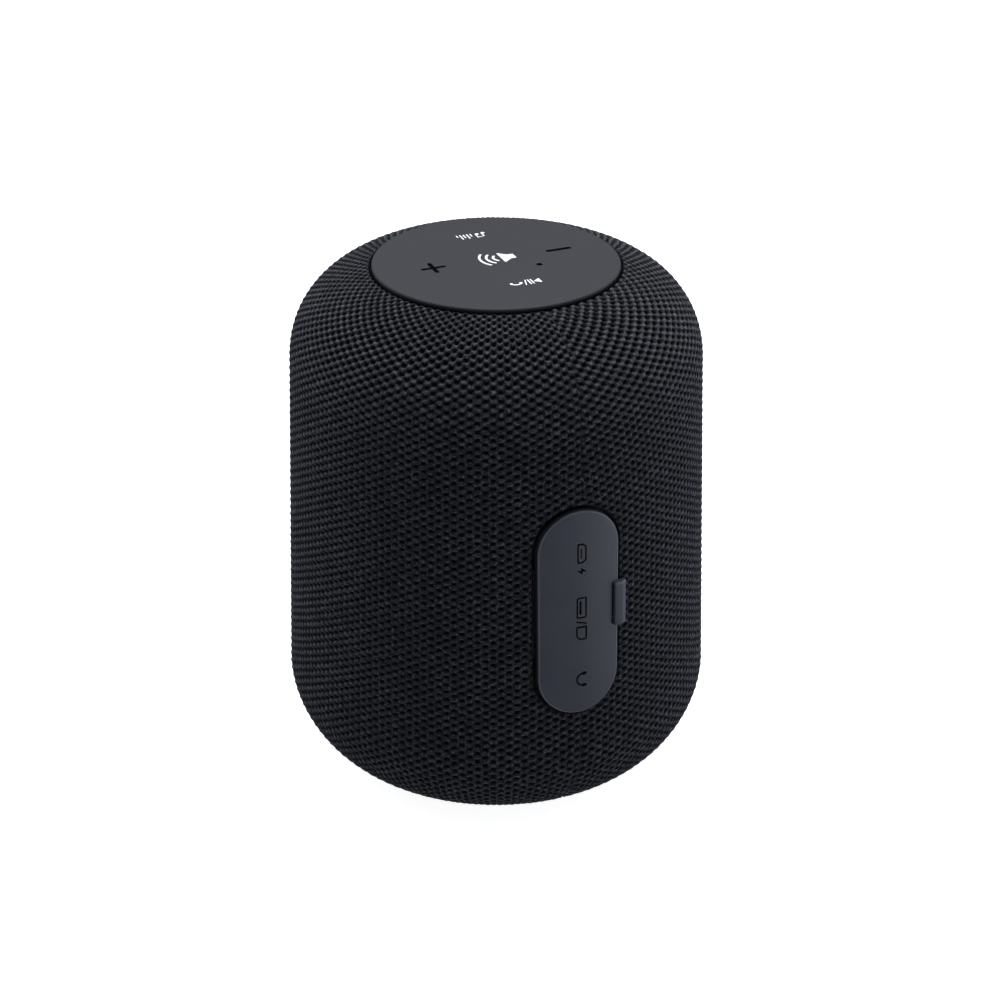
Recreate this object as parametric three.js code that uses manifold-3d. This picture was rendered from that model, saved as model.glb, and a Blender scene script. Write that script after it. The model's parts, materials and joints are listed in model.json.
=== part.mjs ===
// Portable bluetooth speaker: a knitted sleeve over a moulded barrel, with a full range driver behind
// the front, a key panel on top, a rubber port flap at the rear and a rubber foot underneath.
//
// Millimetres, +Z up. The origin is the centre of the ring that the speaker stands on.
// The front, where the driver is, faces -Y. The port flap is at the rear, facing +Y.

import * as THREE from 'three';
import { mergeVertices } from 'three/addons/utils/BufferGeometryUtils.js';
import Module from 'manifold-3d';

const wasm = await Module();
wasm.setup();

// ---------------------------------------------------------------- driving dimensions

const HEIGHT = 112;
const BASE_RADIUS = 45; // widest, just above the heel
const NECK_RADIUS = 42.6; // just under the shoulder
const FOOT_HEIGHT = 1; // how far the foot lifts the body
const PANEL_RADIUS = 24.8;
const PANEL_RISE = 0.4; // how far the panel stands above the crown of the shoulder
const GAP = 0.3; // assembly gap between neighbouring pieces

const FABRIC = 1; // thickness of the knitted sleeve
const WALL = 2.2; // moulded walls of the barrel
const BARREL_INSET = FABRIC + GAP;
const INNER_INSET = BARREL_INSET + WALL;

const FLAP_HALF_WIDTH = 8.7;
const FLAP_HALF_HEIGHT = 22.6;
const FLAP_Z = 53.3;
const FLAP_PROUD = 0.8; // how far the flap stands out of the sleeve
const FLAP_INSET = 1.2; // how deep its inner face lies

const KEY_CIRCLE = 13.7; // centres of the four keys
const KEY_RADIUS = 5;
const KEY_TRAVEL = 0.4;

const DRIVER_Z = 50;
const BAFFLE_Y = -27; // front face of the baffle that the driver sits on
const DRIVER_SCREW_CIRCLE = 24.6;
const EXCURSION = 2.5; // largest travel of the cone, each way

const ROUND = 40; // facets of the big turned pieces
const MEDIUM = 24;
const SMALL = 8;

// Shoulder and heel are quarter superellipses: how far they reach inwards and how high they rise.
const SHOULDER = { reach: 22, rise: 20.3, power: 2.18 };
const HEEL = { reach: 16.5, rise: 19.8, power: 1.8 };
const SHOULDER_RADIUS = NECK_RADIUS - SHOULDER.reach;
const SHOULDER_Z = HEIGHT - PANEL_RISE - SHOULDER.rise;
const HEEL_RADIUS = BASE_RADIUS - HEEL.reach;
const HEEL_Z = FOOT_HEIGHT + HEEL.rise;

// ---------------------------------------------------------------- materials

const finish = (color, roughness, metalness = 0) =>
  new THREE.MeshStandardMaterial({ color, roughness, metalness });

const knit = () => finish(0x17171a, 0.85);
const darkRubber = () => finish(0x3c3e46, 0.6);
const panelRubber = () => finish(0x4d4e54, 0.65);
const blackPlastic = () => finish(0x1c1c1e, 0.5);
const trimPlastic = () => finish(0x3a3b40, 0.4);
const circuitBoard = () => finish(0x1f4a33, 0.5);
const nickel = () => finish(0xb9bbbd, 0.3, 1);
const zincSteel = () => finish(0x9a9ca0, 0.35, 1);
const ferrite = () => finish(0x2c2c2e, 0.7);
const paperCone = () => finish(0x1a1a1b, 0.9);
const copper = () => finish(0xb4693c, 0.4, 1);
const wrap = () => finish(0x2f6fb0, 0.45);
const wire = () => finish(0x8c1f1c, 0.5);
const foam = () => finish(0x26262a, 0.95);
const epoxy = () => finish(0x141416, 0.55);

// ---------------------------------------------------------------- solids

/** A closed geometry as a solid that can be joined and cut. */
function solid(geometry) {
  const bare = geometry.clone();
  Object.keys(bare.attributes)
    .filter((name) => name !== 'position')
    .forEach((name) => bare.deleteAttribute(name));
  const merged = mergeVertices(bare, 1e-4);
  const corners = merged.index.array;
  const triangles = [];
  for (let i = 0; i < corners.length; i += 3) {
    const [a, b, c] = [corners[i], corners[i + 1], corners[i + 2]];
    if (a !== b && b !== c && c !== a) triangles.push(a, b, c);
  }
  return new wasm.Manifold(new wasm.Mesh({
    numProp: 3,
    vertProperties: new Float32Array(merged.attributes.position.array),
    triVerts: new Uint32Array(triangles),
  }));
}

const join = (...solids) => solids.reduce((whole, next) => whole.add(next));
const cut = (whole, ...tools) => tools.reduce((rest, tool) => rest.subtract(tool), whole);

/** A solid of revolution about Z from an outline of [radius, z] points. */
function turned(outline, segments = ROUND) {
  const points = outline.map(([r, z]) => new THREE.Vector2(r, z));
  if (THREE.ShapeUtils.area(points) < 0) points.reverse();
  const onAxis = points.some((point) => point.x === 0);
  if (onAxis) {
    while (points[0].x !== 0 || points[points.length - 1].x !== 0) points.push(points.shift());
  } else {
    points.push(points[0].clone());
  }
  return solid(new THREE.LatheGeometry(points, segments).rotateX(Math.PI / 2));
}

const disc = (radius, low, high, segments = MEDIUM) =>
  turned([[0, low], [radius, low], [radius, high], [0, high]], segments);

const ring = (inner, outer, low, high, segments = MEDIUM) =>
  turned([[inner, low], [outer, low], [outer, high], [inner, high]], segments);

function box(low, high) {
  const size = high.map((value, axis) => value - low[axis]);
  const middle = high.map((value, axis) => (value + low[axis]) / 2);
  return solid(new THREE.BoxGeometry(...size).translate(...middle));
}

/** Turns a solid made along +Z to point along -Y, and moves it to the driver's axis. */
const onDriverAxis = (part) => part.rotate([90, 0, 0]).translate([0, BAFFLE_Y, DRIVER_Z]);

/** Turns a solid made along +Z to point along +X. */
const alongX = (part) => part.rotate([0, 90, 0]);

/** Extrudes an x, z outline from one y to another. */
function extrudedY(shape, low, high) {
  const geometry = new THREE.ExtrudeGeometry(shape, {
    depth: high - low, bevelEnabled: false, curveSegments: 10,
  });
  return solid(geometry.rotateX(Math.PI / 2).translate(0, high, 0));
}

/** Upright slot with round ends, grown all round by a margin. */
function pill(margin) {
  const radius = FLAP_HALF_WIDTH + margin;
  const straight = FLAP_HALF_HEIGHT - FLAP_HALF_WIDTH;
  const shape = new THREE.Shape();
  shape.absarc(0, FLAP_Z + straight, radius, 0, Math.PI);
  shape.absarc(0, FLAP_Z - straight, radius, Math.PI, 2 * Math.PI);
  shape.closePath();
  return shape;
}

/** A pan head screw along Z: its head rests at z 0 and its shank points down. */
const screw = (headRadius, headHeight, shankRadius, length) => turned([
  [0, headHeight], [headRadius * 0.8, headHeight], [headRadius, headHeight * 0.6], [headRadius, 0],
  [shankRadius, 0], [shankRadius, -length + shankRadius], [0, -length],
], SMALL);

/** A flat lead swept along a smooth route. */
function lead(route, width, thickness, steps) {
  const points = route.map((point) => new THREE.Vector3(...point));
  const section = new THREE.Shape();
  const side = (width - thickness) / 2;
  section.absarc(side, 0, thickness / 2, -Math.PI / 2, Math.PI / 2);
  section.absarc(-side, 0, thickness / 2, Math.PI / 2, 1.5 * Math.PI);
  return solid(new THREE.ExtrudeGeometry(section, {
    steps, curveSegments: 2, bevelEnabled: false, extrudePath: new THREE.CatmullRomCurve3(points),
  }));
}

/** Places copies round the Z axis: calls make(angle) for each of the given degrees. */
const around = (degrees, make) => degrees.map((angle) => make(THREE.MathUtils.degToRad(angle)));

const polar = (radius, angle) => [radius * Math.cos(angle), radius * Math.sin(angle)];

// ---------------------------------------------------------------- the body's outer curve

/** Offset on a quarter superellipse, at an angle from 0, level with its centre, to 90 degrees. */
function quarterPoint(corner, inset, angle) {
  const exponent = 2 / corner.power;
  return [
    (corner.reach - inset) * Math.cos(angle) ** exponent,
    (corner.rise - inset) * Math.sin(angle) ** exponent,
  ];
}

const angleAtReach = (corner, inset, reach) =>
  Math.acos((reach / (corner.reach - inset)) ** (corner.power / 2));

const angleAtRise = (corner, inset, rise) =>
  Math.asin((rise / (corner.rise - inset)) ** (corner.power / 2));

/** The body's profile at an inset, as [radius, z] from its upper edge down to its lower edge. */
function bodyCurve(inset, upperAngle, lowerAngle, steps) {
  const points = [];
  for (let i = 0; i <= steps; i += 1) {
    const [out, up] = quarterPoint(SHOULDER, inset, upperAngle * (1 - i / steps));
    points.push([SHOULDER_RADIUS + out, SHOULDER_Z + up]);
  }
  for (let i = 0; i <= steps; i += 1) {
    const [out, down] = quarterPoint(HEEL, inset, lowerAngle * (i / steps));
    points.push([HEEL_RADIUS + out, HEEL_Z - down]);
  }
  return points;
}

/** The profile between an upper and a lower edge radius. */
const bodyBetween = (inset, upperRadius, lowerRadius, steps) => bodyCurve(
  inset,
  angleAtReach(SHOULDER, inset, upperRadius - SHOULDER_RADIUS),
  angleAtReach(HEEL, inset, lowerRadius - HEEL_RADIUS),
  steps,
);

/** The whole body filled in, at an inset, to trim other pieces to its curve. */
function bodyFilled(inset, steps = 5) {
  const quarter = Math.PI / 2;
  const curve = bodyCurve(inset, quarter, quarter, steps);
  const top = curve[0][1];
  const bottom = curve[curve.length - 1][1];
  return turned([[0, top], ...curve, [0, bottom]]);
}

// ---------------------------------------------------------------- scene

const speaker = new THREE.Group();

function add(name, part, material) {
  const mesh = part.getMesh();
  const geometry = new THREE.BufferGeometry();
  geometry.setAttribute('position', new THREE.BufferAttribute(mesh.vertProperties, 3));
  geometry.setIndex(new THREE.BufferAttribute(mesh.triVerts, 1));
  const node = new THREE.Mesh(geometry, material);
  node.name = name;
  speaker.add(node);
}

// ---------------------------------------------------------------- sleeve

const SLEEVE_TOP_RADIUS = PANEL_RADIUS + 2.1;
const BARREL_TOP_RADIUS = SLEEVE_TOP_RADIUS - 0.1;
const RIM_RADIUS = 30.2; // lower edge of sleeve and barrel
const SLEEVE_HOLE = 0.6; // margin round the flap

function fabricSleeve() {
  const outer = bodyBetween(0, SLEEVE_TOP_RADIUS, RIM_RADIUS, 6);
  const inner = bodyBetween(FABRIC, SLEEVE_TOP_RADIUS, RIM_RADIUS, 5);
  const shell = turned([...outer, ...inner.reverse()]);
  return cut(shell, extrudedY(pill(SLEEVE_HOLE), 20, BASE_RADIUS + 5));
}

add('fabric_sleeve', fabricSleeve(), knit());

// ---------------------------------------------------------------- barrel

const COLLAR_WALL = 1.6;
const LEDGE_TOP = 103.5; // the top deck rests here
const LEDGE_BOTTOM = 101.5;
const LEDGE_INNER = 20.6;
const FLOOR_BOTTOM = 5.6; // the base closes against this flange
const FLOOR_TOP = 7.6;
const FLOOR_INNER = 22;
const POCKET_RADIUS = 26.6; // round recess for the driver and its grille
const POCKET_WALL = 2;
const BAFFLE_THICKNESS = 2.2;
const CUTOUT_RADIUS = 22.4;
const BAY_WALL = 1.5;
const BAY_MARGIN = 0.5; // between the flap and the bay's wall

const DECK_SCREWS = [60, 180, 300];
const DECK_SCREW_CIRCLE = 22.3;
const BASE_SCREWS = [30, 150, 270];
const BASE_SCREW_CIRCLE = 25;
const DRIVER_SCREWS = [45, 135, 225, 315];

const DECK_BOSS = 2.8;
const DECK_BOSS_LOW = 96;
const BASE_BOSS = 2.6;
const BASE_BOSS_HIGH = 14;
const DRIVER_BOSS = 2.4;
const DRIVER_BOSS_LOW = -7;

const SHANK = 1; // radius of the case screws
const SHANK_HOLE = SHANK + GAP;
const DRIVER_SHANK = 0.9;
const DRIVER_HOLE = DRIVER_SHANK + GAP;
const REACH = 60; // further than the body's outside

function barrelShell() {
  const collar = BARREL_TOP_RADIUS + COLLAR_WALL;
  const outer = bodyBetween(BARREL_INSET, BARREL_TOP_RADIUS, RIM_RADIUS, 5);
  const inner = bodyCurve(
    INNER_INSET,
    angleAtReach(SHOULDER, INNER_INSET, collar - SHOULDER_RADIUS),
    angleAtRise(HEEL, INNER_INSET, HEEL_Z - FLOOR_TOP),
    4,
  );
  return turned([
    ...outer,
    [RIM_RADIUS, FLOOR_BOTTOM], [FLOOR_INNER, FLOOR_BOTTOM], [FLOOR_INNER, FLOOR_TOP],
    ...inner.reverse(),
    [collar, LEDGE_BOTTOM], [LEDGE_INNER, LEDGE_BOTTOM],
    [LEDGE_INNER, LEDGE_TOP], [BARREL_TOP_RADIUS, LEDGE_TOP],
  ]);
}

/** The round pocket that carries the baffle, trimmed to the barrel's outside. */
function driverPocket() {
  const depth = -BAFFLE_THICKNESS;
  const plug = onDriverAxis(disc(POCKET_RADIUS + POCKET_WALL, depth, REACH));
  return plug.intersect(bodyFilled(BARREL_INSET));
}

function cabinetBarrel() {
  const posts = (degrees, circle, radius, low, high) => around(degrees, (angle) =>
    disc(radius, low, high, SMALL).translate([...polar(circle, angle), 0]));
  const deckBosses = posts(DECK_SCREWS, DECK_SCREW_CIRCLE, DECK_BOSS, DECK_BOSS_LOW, LEDGE_BOTTOM + 1);
  const deckHoles = posts(DECK_SCREWS, DECK_SCREW_CIRCLE, SHANK_HOLE, DECK_BOSS_LOW - 1, LEDGE_TOP + 1);
  const baseBosses = posts(BASE_SCREWS, BASE_SCREW_CIRCLE, BASE_BOSS, FLOOR_BOTTOM + 1, BASE_BOSS_HIGH);
  const baseHoles = posts(
    BASE_SCREWS, BASE_SCREW_CIRCLE, SHANK_HOLE, FLOOR_BOTTOM - 1, BASE_BOSS_HIGH + 1);
  const driverBosses = posts(
    DRIVER_SCREWS, DRIVER_SCREW_CIRCLE, DRIVER_BOSS, DRIVER_BOSS_LOW, -1).map(onDriverAxis);
  const driverHoles = posts(
    DRIVER_SCREWS, DRIVER_SCREW_CIRCLE, DRIVER_HOLE, DRIVER_BOSS_LOW - 1, 1).map(onDriverAxis);
  const whole = join(barrelShell(), driverPocket(), ...deckBosses, ...baseBosses, ...driverBosses);
  return cut(
    whole,
    onDriverAxis(disc(POCKET_RADIUS, 0, REACH)),
    onDriverAxis(disc(CUTOUT_RADIUS, -BAFFLE_THICKNESS - 1, 1)),
    extrudedY(pill(BAY_MARGIN + BAY_WALL + GAP), 20, REACH),
    ...deckHoles, ...baseHoles, ...driverHoles,
  );
}

add('cabinet_barrel', cabinetBarrel(), blackPlastic());

// ---------------------------------------------------------------- front grille

const GRILLE_THICKNESS = 2;
const SLOT_WIDTH = 2.2;
const SLOT_PITCH = 4.4;
const SLOTS_EACH_SIDE = 4;

/** Curved panel over the driver: upright slots with a rib across their middle. */
function speakerGrille() {
  const radius = POCKET_RADIUS - GAP;
  const panel = onDriverAxis(disc(radius, 1, REACH)).intersect(
    bodyFilled(BARREL_INSET).subtract(bodyFilled(BARREL_INSET + GRILLE_THICKNESS)));
  const slots = [];
  for (let i = -SLOTS_EACH_SIDE; i <= SLOTS_EACH_SIDE; i += 1) {
    const x = i * SLOT_PITCH;
    const tall = Math.sqrt((radius - 3) ** 2 - x ** 2);
    [[1.5, tall], [-tall, -1.5]].forEach(([low, high]) => slots.push(
      box([x - SLOT_WIDTH / 2, -REACH, DRIVER_Z + low], [x + SLOT_WIDTH / 2, 0, DRIVER_Z + high])));
  }
  return cut(panel, ...slots);
}

add('speaker_grille', speakerGrille(), blackPlastic());

// ---------------------------------------------------------------- driver, drawn along its own axis

const FLANGE_BACK = 1.3;
const FLANGE_FRONT = 2.5;
const FLANGE_RADIUS = 26;
const BASKET_BACK = -12.2;
const CONE_RADIUS = 18.5;
const POLE_RADIUS = 9.6;
const COIL_INNER = 10;
const COIL_OUTER = 10.5;
const PLATE_INNER = 10.9;
const PLATE_RADIUS = 18;
const MAGNET_RADIUS = 20;
const SHEET = 0.5; // cone, cap, surround and spider thickness
const CONE_NECK = -4.4;
const SPIDER_TOP = CONE_NECK - EXCURSION - GAP;

function driverBasket() {
  const frame = turned([
    [FLANGE_RADIUS, FLANGE_FRONT], [20.9, FLANGE_FRONT], [20.9, FLANGE_BACK], [15.4, BASKET_BACK + 1.2],
    [11.4, BASKET_BACK + 1.2], [11.4, BASKET_BACK], [16.6, BASKET_BACK], [21.9, FLANGE_BACK],
    [FLANGE_RADIUS, FLANGE_BACK],
  ], MEDIUM);
  const windows = [0, 90].map((turn) =>
    box([-7, -30, BASKET_BACK + 2.6], [7, 30, -0.6]).rotate([0, 0, turn]));
  const holes = around(DRIVER_SCREWS, (angle) =>
    disc(DRIVER_HOLE, 0, 4, SMALL).translate([...polar(DRIVER_SCREW_CIRCLE, angle), 0]));
  return cut(frame, ...windows, ...holes);
}

function driverGasket() {
  const holes = around(DRIVER_SCREWS, (angle) =>
    disc(DRIVER_HOLE, 0, 2, SMALL).translate([...polar(DRIVER_SCREW_CIRCLE, angle), 0]));
  return cut(ring(22.7, 25.9, GAP, FLANGE_BACK - GAP), ...holes);
}

/** Rubber roll between the cone's edge and the basket, with its outer lip on the flange. */
function driverSurround() {
  const inner = CONE_RADIUS + 0.4;
  const rollRadius = 1.3;
  const centre = inner + rollRadius;
  const base = FLANGE_FRONT + GAP;
  const arc = (radius, reverse) => [0, 1, 2, 3, 4].map((i) => {
    const angle = Math.PI * (reverse ? 1 - i / 4 : i / 4);
    return [centre + radius * Math.cos(angle), base + radius * Math.sin(angle)];
  });
  return turned([
    ...arc(rollRadius, true), [22.8, base], [22.8, base + SHEET],
    ...arc(rollRadius + SHEET, false).filter(([r]) => r < centre + rollRadius && r > inner - 0.1),
    [inner, base + SHEET],
  ].map(([r, z]) => [Math.max(r, inner), z]), MEDIUM);
}

const driverCone = () => turned([
  [COIL_OUTER + GAP, CONE_NECK], [CONE_RADIUS, 2], [CONE_RADIUS, 2 + SHEET],
  [COIL_OUTER + GAP, CONE_NECK + SHEET * 1.4],
], MEDIUM);

/** Shallow dome over the middle of the cone. */
function dustCap() {
  const radius = 11.6;
  const rise = 2.6;
  const outline = (lift) => [0, 1, 2, 3, 4].map((i) => {
    const angle = (Math.PI / 2) * (i / 4);
    return [radius * Math.cos(angle), -2.7 + lift + rise * Math.sin(angle)];
  });
  const upper = outline(SHEET).map(([r, z], i) => [i === 4 ? 0 : r, z]);
  const lower = outline(0).map(([r, z], i) => [i === 4 ? 0 : r, z]);
  return turned([...upper, ...lower.reverse()], MEDIUM);
}

/** Corrugated disc that centres the voice coil. */
function driverSpider() {
  const waves = [0, 1, 2, 3, 4].map((i) => [PLATE_INNER + i * 1.1, SPIDER_TOP - (i % 2) * 0.8]);
  const under = waves.map(([r, z]) => [r, z - SHEET]).reverse();
  return turned([...waves, ...under], MEDIUM);
}

add('driver_basket', onDriverAxis(driverBasket()), zincSteel());
add('driver_gasket', onDriverAxis(driverGasket()), foam());
add('driver_surround', onDriverAxis(driverSurround()), darkRubber());
add('driver_cone', onDriverAxis(driverCone()), paperCone());
add('driver_dust_cap', onDriverAxis(dustCap()), paperCone());
add('driver_voice_coil', onDriverAxis(ring(COIL_INNER, COIL_OUTER, -15, CONE_NECK + 0.4)), copper());
add('driver_spider', onDriverAxis(driverSpider()), wire());
add('driver_top_plate', onDriverAxis(ring(PLATE_INNER, PLATE_RADIUS, -15.5, -12.5)), zincSteel());
add('driver_magnet', onDriverAxis(ring(11.5, MAGNET_RADIUS, -22.8, -15.8)), ferrite());
add('driver_pole_plate', onDriverAxis(turned([
  [0, -26.1], [PLATE_RADIUS, -26.1], [PLATE_RADIUS, -23.1], [POLE_RADIUS, -23.1],
  [POLE_RADIUS, -12.5], [0, -12.5],
], MEDIUM)), zincSteel());

around(DRIVER_SCREWS, (angle) => onDriverAxis(
  screw(1.4, 1.2, DRIVER_SHANK, 8).translate([...polar(DRIVER_SCREW_CIRCLE, angle), FLANGE_FRONT + GAP]),
)).forEach((part, i) => add(`driver_screw_${i + 1}`, part, zincSteel()));

// ---------------------------------------------------------------- top: deck, board, switches, keys

const PANEL_BOTTOM = HEIGHT - 1.6;
const DECK_TOP = PANEL_BOTTOM - GAP;
const DECK_BOTTOM = DECK_TOP - 1.8;
const DECK_RADIUS = BARREL_TOP_RADIUS - 0.5;
const BOARD_BOTTOM = 103;
const BOARD_TOP = 104.2;
const BOARD_RADIUS = 19.2;
const CAP_BOTTOM = DECK_TOP + KEY_TRAVEL + 0.4;
const PLUNGER_RADIUS = 1.8;
const PLUNGER_END = 108.5;
const SWITCH_TOP = 107.3;
const STEM_RADIUS = 1.2;
const STEM_END = SWITCH_TOP - 1.2;
const MIC_PLACE = [-6.9, 6.2];
const DECK_HEAD = 2.1; // screw heads sunk in the deck
const DECK_HEAD_LOW = 105.7;

const KEYS = [
  { name: 'plus', angle: 0 },
  { name: 'play', angle: 90 },
  { name: 'minus', angle: 180 },
  { name: 'mode', angle: 270 },
].map(({ name, angle }) => ({
  name, place: polar(KEY_CIRCLE, THREE.MathUtils.degToRad(angle)),
}));

function topDeck() {
  const screwTube = (angle) =>
    disc(DECK_BOSS, LEDGE_TOP + GAP, DECK_TOP, SMALL).translate([...polar(DECK_SCREW_CIRCLE, angle), 0]);
  const screwHole = (angle) => join(
    disc(SHANK_HOLE, LEDGE_TOP, DECK_TOP, SMALL),
    disc(DECK_HEAD + GAP, DECK_HEAD_LOW - GAP, DECK_TOP + 1, SMALL),
  ).translate([...polar(DECK_SCREW_CIRCLE, angle), 0]);
  const post = (angle) =>
    disc(1.4, BOARD_TOP + GAP, DECK_TOP - 1, SMALL).translate([...polar(16.8, angle), 0]);
  const plungerHoles = KEYS.map(({ place }) =>
    disc(PLUNGER_RADIUS + 0.6, DECK_BOTTOM - 1, DECK_TOP + 1, SMALL).translate([...place, 0]));
  const cap = turned([
    [0, DECK_TOP], [DECK_RADIUS, DECK_TOP], [DECK_RADIUS, LEDGE_TOP + GAP], [24.4, LEDGE_TOP + GAP],
    [24.4, DECK_BOTTOM], [0, DECK_BOTTOM],
  ]);
  const whole = join(cap, ...around(DECK_SCREWS, screwTube), ...around([45, 135, 225, 315], post));
  const micHole = disc(1.2, DECK_BOTTOM - 1, DECK_TOP + 1, SMALL).translate([...MIC_PLACE, 0]);
  return cut(whole, ...around(DECK_SCREWS, screwHole), ...plungerHoles, micHole);
}

function keyPanel() {
  const chamfer = 0.5;
  const panel = turned([
    [0, PANEL_BOTTOM], [PANEL_RADIUS + chamfer, PANEL_BOTTOM], [PANEL_RADIUS + chamfer, HEIGHT - chamfer],
    [PANEL_RADIUS, HEIGHT], [0, HEIGHT],
  ]);
  const keyHoles = KEYS.map(({ place }) =>
    disc(KEY_RADIUS + GAP, PANEL_BOTTOM - 1, HEIGHT + 1).translate([...place, 0]));
  const micHole = disc(0.5, PANEL_BOTTOM - 1, HEIGHT + 1, SMALL).translate([...MIC_PLACE, 0]);
  return cut(panel, ...keyHoles, micHole);
}

function trimRing() {
  const inner = PANEL_RADIUS + 0.9;
  const outer = BARREL_TOP_RADIUS - GAP;
  const edge = 0.25;
  return turned([
    [inner, PANEL_BOTTOM], [outer, PANEL_BOTTOM], [outer, HEIGHT - 0.5 - edge],
    [outer - edge, HEIGHT - 0.5], [inner + edge, HEIGHT - 0.5], [inner, HEIGHT - 0.5 - edge],
  ]);
}

const keyCap = () => turned([
  [0, HEIGHT], [KEY_RADIUS, HEIGHT], [KEY_RADIUS, CAP_BOTTOM],
  [PLUNGER_RADIUS, CAP_BOTTOM], [PLUNGER_RADIUS, PLUNGER_END], [0, PLUNGER_END],
], MEDIUM);

/** Square switch body with a blind well for its stem. */
function tactSwitch() {
  const half = 2.6;
  return cut(
    box([-half, -half, BOARD_TOP + GAP], [half, half, SWITCH_TOP]),
    disc(STEM_RADIUS + GAP, STEM_END - KEY_TRAVEL - GAP, SWITCH_TOP + 1, SMALL),
  );
}

add('top_deck', topDeck(), blackPlastic());
add('key_panel', keyPanel(), panelRubber());
add('top_trim_ring', trimRing(), trimPlastic());
add('key_board', disc(BOARD_RADIUS, BOARD_BOTTOM, BOARD_TOP), circuitBoard());
add('microphone', disc(2, BOARD_TOP + GAP, 107, SMALL).translate([...MIC_PLACE, 0]), nickel());

KEYS.forEach(({ name, place }) => {
  const at = [...place, 0];
  add(`key_${name}`, keyCap().translate(at), panelRubber());
  add(`switch_${name}`, tactSwitch().translate(at), epoxy());
  add(`switch_stem_${name}`, disc(STEM_RADIUS, STEM_END, PLUNGER_END - GAP, SMALL).translate(at),
    trimPlastic());
});

around(DECK_SCREWS, (angle) =>
  screw(DECK_HEAD, 1.5, SHANK, 7.5).translate([...polar(DECK_SCREW_CIRCLE, angle), DECK_HEAD_LOW]),
).forEach((part, i) => add(`deck_screw_${i + 1}`, part, zincSteel()));

// ---------------------------------------------------------------- port bay and main board

const BAY_FRONT = 39.2;
const BAY_BACK = 37.6;
const MOUTH = BAY_FRONT - 0.2; // the sockets stop just behind the bay's floor
const BOARD_LEFT = -4.8;
const BOARD_RIGHT = -3.2;
const BOARD_SCREW_Y = 31;
const BOARD_SCREW_Z = [31.8, 74.8];
const BOARD_SHANK = 0.8;
const ARM_THICKNESS = 2.3;

/** Outer box of each socket: x, y and z ranges. The board's edge carries all four. */
const SOCKETS = {
  usb_power_socket: { x: [-2.9, -0.2], y: [33, MOUTH], z: [61.5, 69.3], wall: 0.4, tongue: 0.6, depth: 4.6 },
  usb_a_socket: { x: [-2.9, 2.8], y: [25.2, MOUTH], z: [45.7, 58.9], wall: 0.4, tongue: 1.8, depth: 12 },
  card_socket: { x: [-7, -5.1], y: [24, MOUTH], z: [45.6, 59], wall: 0.5, tongue: 0, depth: 13 },
  audio_jack: { x: [-2.9, 3.1], y: [26, MOUTH], z: [35.3, 41.3] },
};

const socketBox = ({ x, y, z }, margin = 0) => box(
  [x[0] - margin, y[0] - margin, z[0] - margin],
  [x[1] + margin, y[1] + margin, z[1] + margin],
);

/** Shell open towards +Y, with a contact tongue standing in it. */
function shellSocket(socket) {
  const { x, y, z, wall, tongue, depth } = socket;
  const middle = (x[0] + x[1]) / 2;
  const back = y[1] - depth;
  const mouth = box([x[0] + wall, back, z[0] + wall], [x[1] - wall, y[1] + 1, z[1] - wall]);
  const hollow = cut(socketBox(socket), mouth);
  if (!tongue) return hollow;
  return hollow.add(box(
    [middle - tongue / 2, back - 0.5, z[0] + 3 * wall], [middle + tongue / 2, y[1] - 1, z[1] - 3 * wall],
  ));
}

function audioJack() {
  const socket = SOCKETS.audio_jack;
  const middle = [(socket.x[0] + socket.x[1]) / 2, (socket.z[0] + socket.z[1]) / 2];
  const bore = disc(1.8, 0, 12, SMALL).rotate([-90, 0, 0]).translate([middle[0], MOUTH - 11, middle[1]]);
  return cut(socketBox(socket), bore);
}

/** Tub behind the flap, with a floor that the sockets reach through and two arms for the board. */
function portBay() {
  const block = extrudedY(pill(BAY_MARGIN + BAY_WALL), BAY_BACK, REACH);
  const outside = block.intersect(bodyFilled(BARREL_INSET));
  const inside = extrudedY(pill(BAY_MARGIN), BAY_FRONT, REACH);
  const arms = BOARD_SCREW_Z.map((z) => box(
    [BOARD_LEFT - GAP - ARM_THICKNESS, BOARD_SCREW_Y - 2.5, z - 1.5],
    [BOARD_LEFT - GAP, BAY_BACK + 1, z + 1.5],
  ));
  const armHoles = BOARD_SCREW_Z.map((z) =>
    alongX(disc(BOARD_SHANK + GAP, -9, -4, SMALL)).translate([0, BOARD_SCREW_Y, z]));
  const windows = Object.values(SOCKETS).map((socket) => socketBox(socket, GAP));
  return cut(join(cut(outside, inside), ...arms), ...armHoles, ...windows);
}

function mainBoard() {
  const holes = BOARD_SCREW_Z.map((z) =>
    alongX(disc(BOARD_SHANK + GAP, -6, -2, SMALL)).translate([0, BOARD_SCREW_Y, z]));
  return cut(box([BOARD_LEFT, 4, 27], [BOARD_RIGHT, BAY_BACK - GAP, 79]), ...holes);
}

add('port_bay', portBay(), blackPlastic());
add('main_board', mainBoard(), circuitBoard());
add('usb_power_socket', shellSocket(SOCKETS.usb_power_socket), nickel());
add('usb_a_socket', shellSocket(SOCKETS.usb_a_socket), nickel());
add('card_socket', shellSocket(SOCKETS.card_socket), nickel());
add('audio_jack', audioJack(), epoxy());
add('bluetooth_module', box([-7.3, 8, 62], [BOARD_LEFT - GAP, 20, 76]), nickel());
add('amplifier_chip', box([-6.3, 9, 34], [BOARD_LEFT - GAP, 15, 40]), epoxy());

BOARD_SCREW_Z.forEach((z, i) => {
  const part = alongX(screw(1.5, 1, BOARD_SHANK, 4.2)).translate([BOARD_RIGHT + GAP, BOARD_SCREW_Y, z]);
  add(`board_screw_${i + 1}`, part, zincSteel());
});

// ---------------------------------------------------------------- port flap

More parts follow.
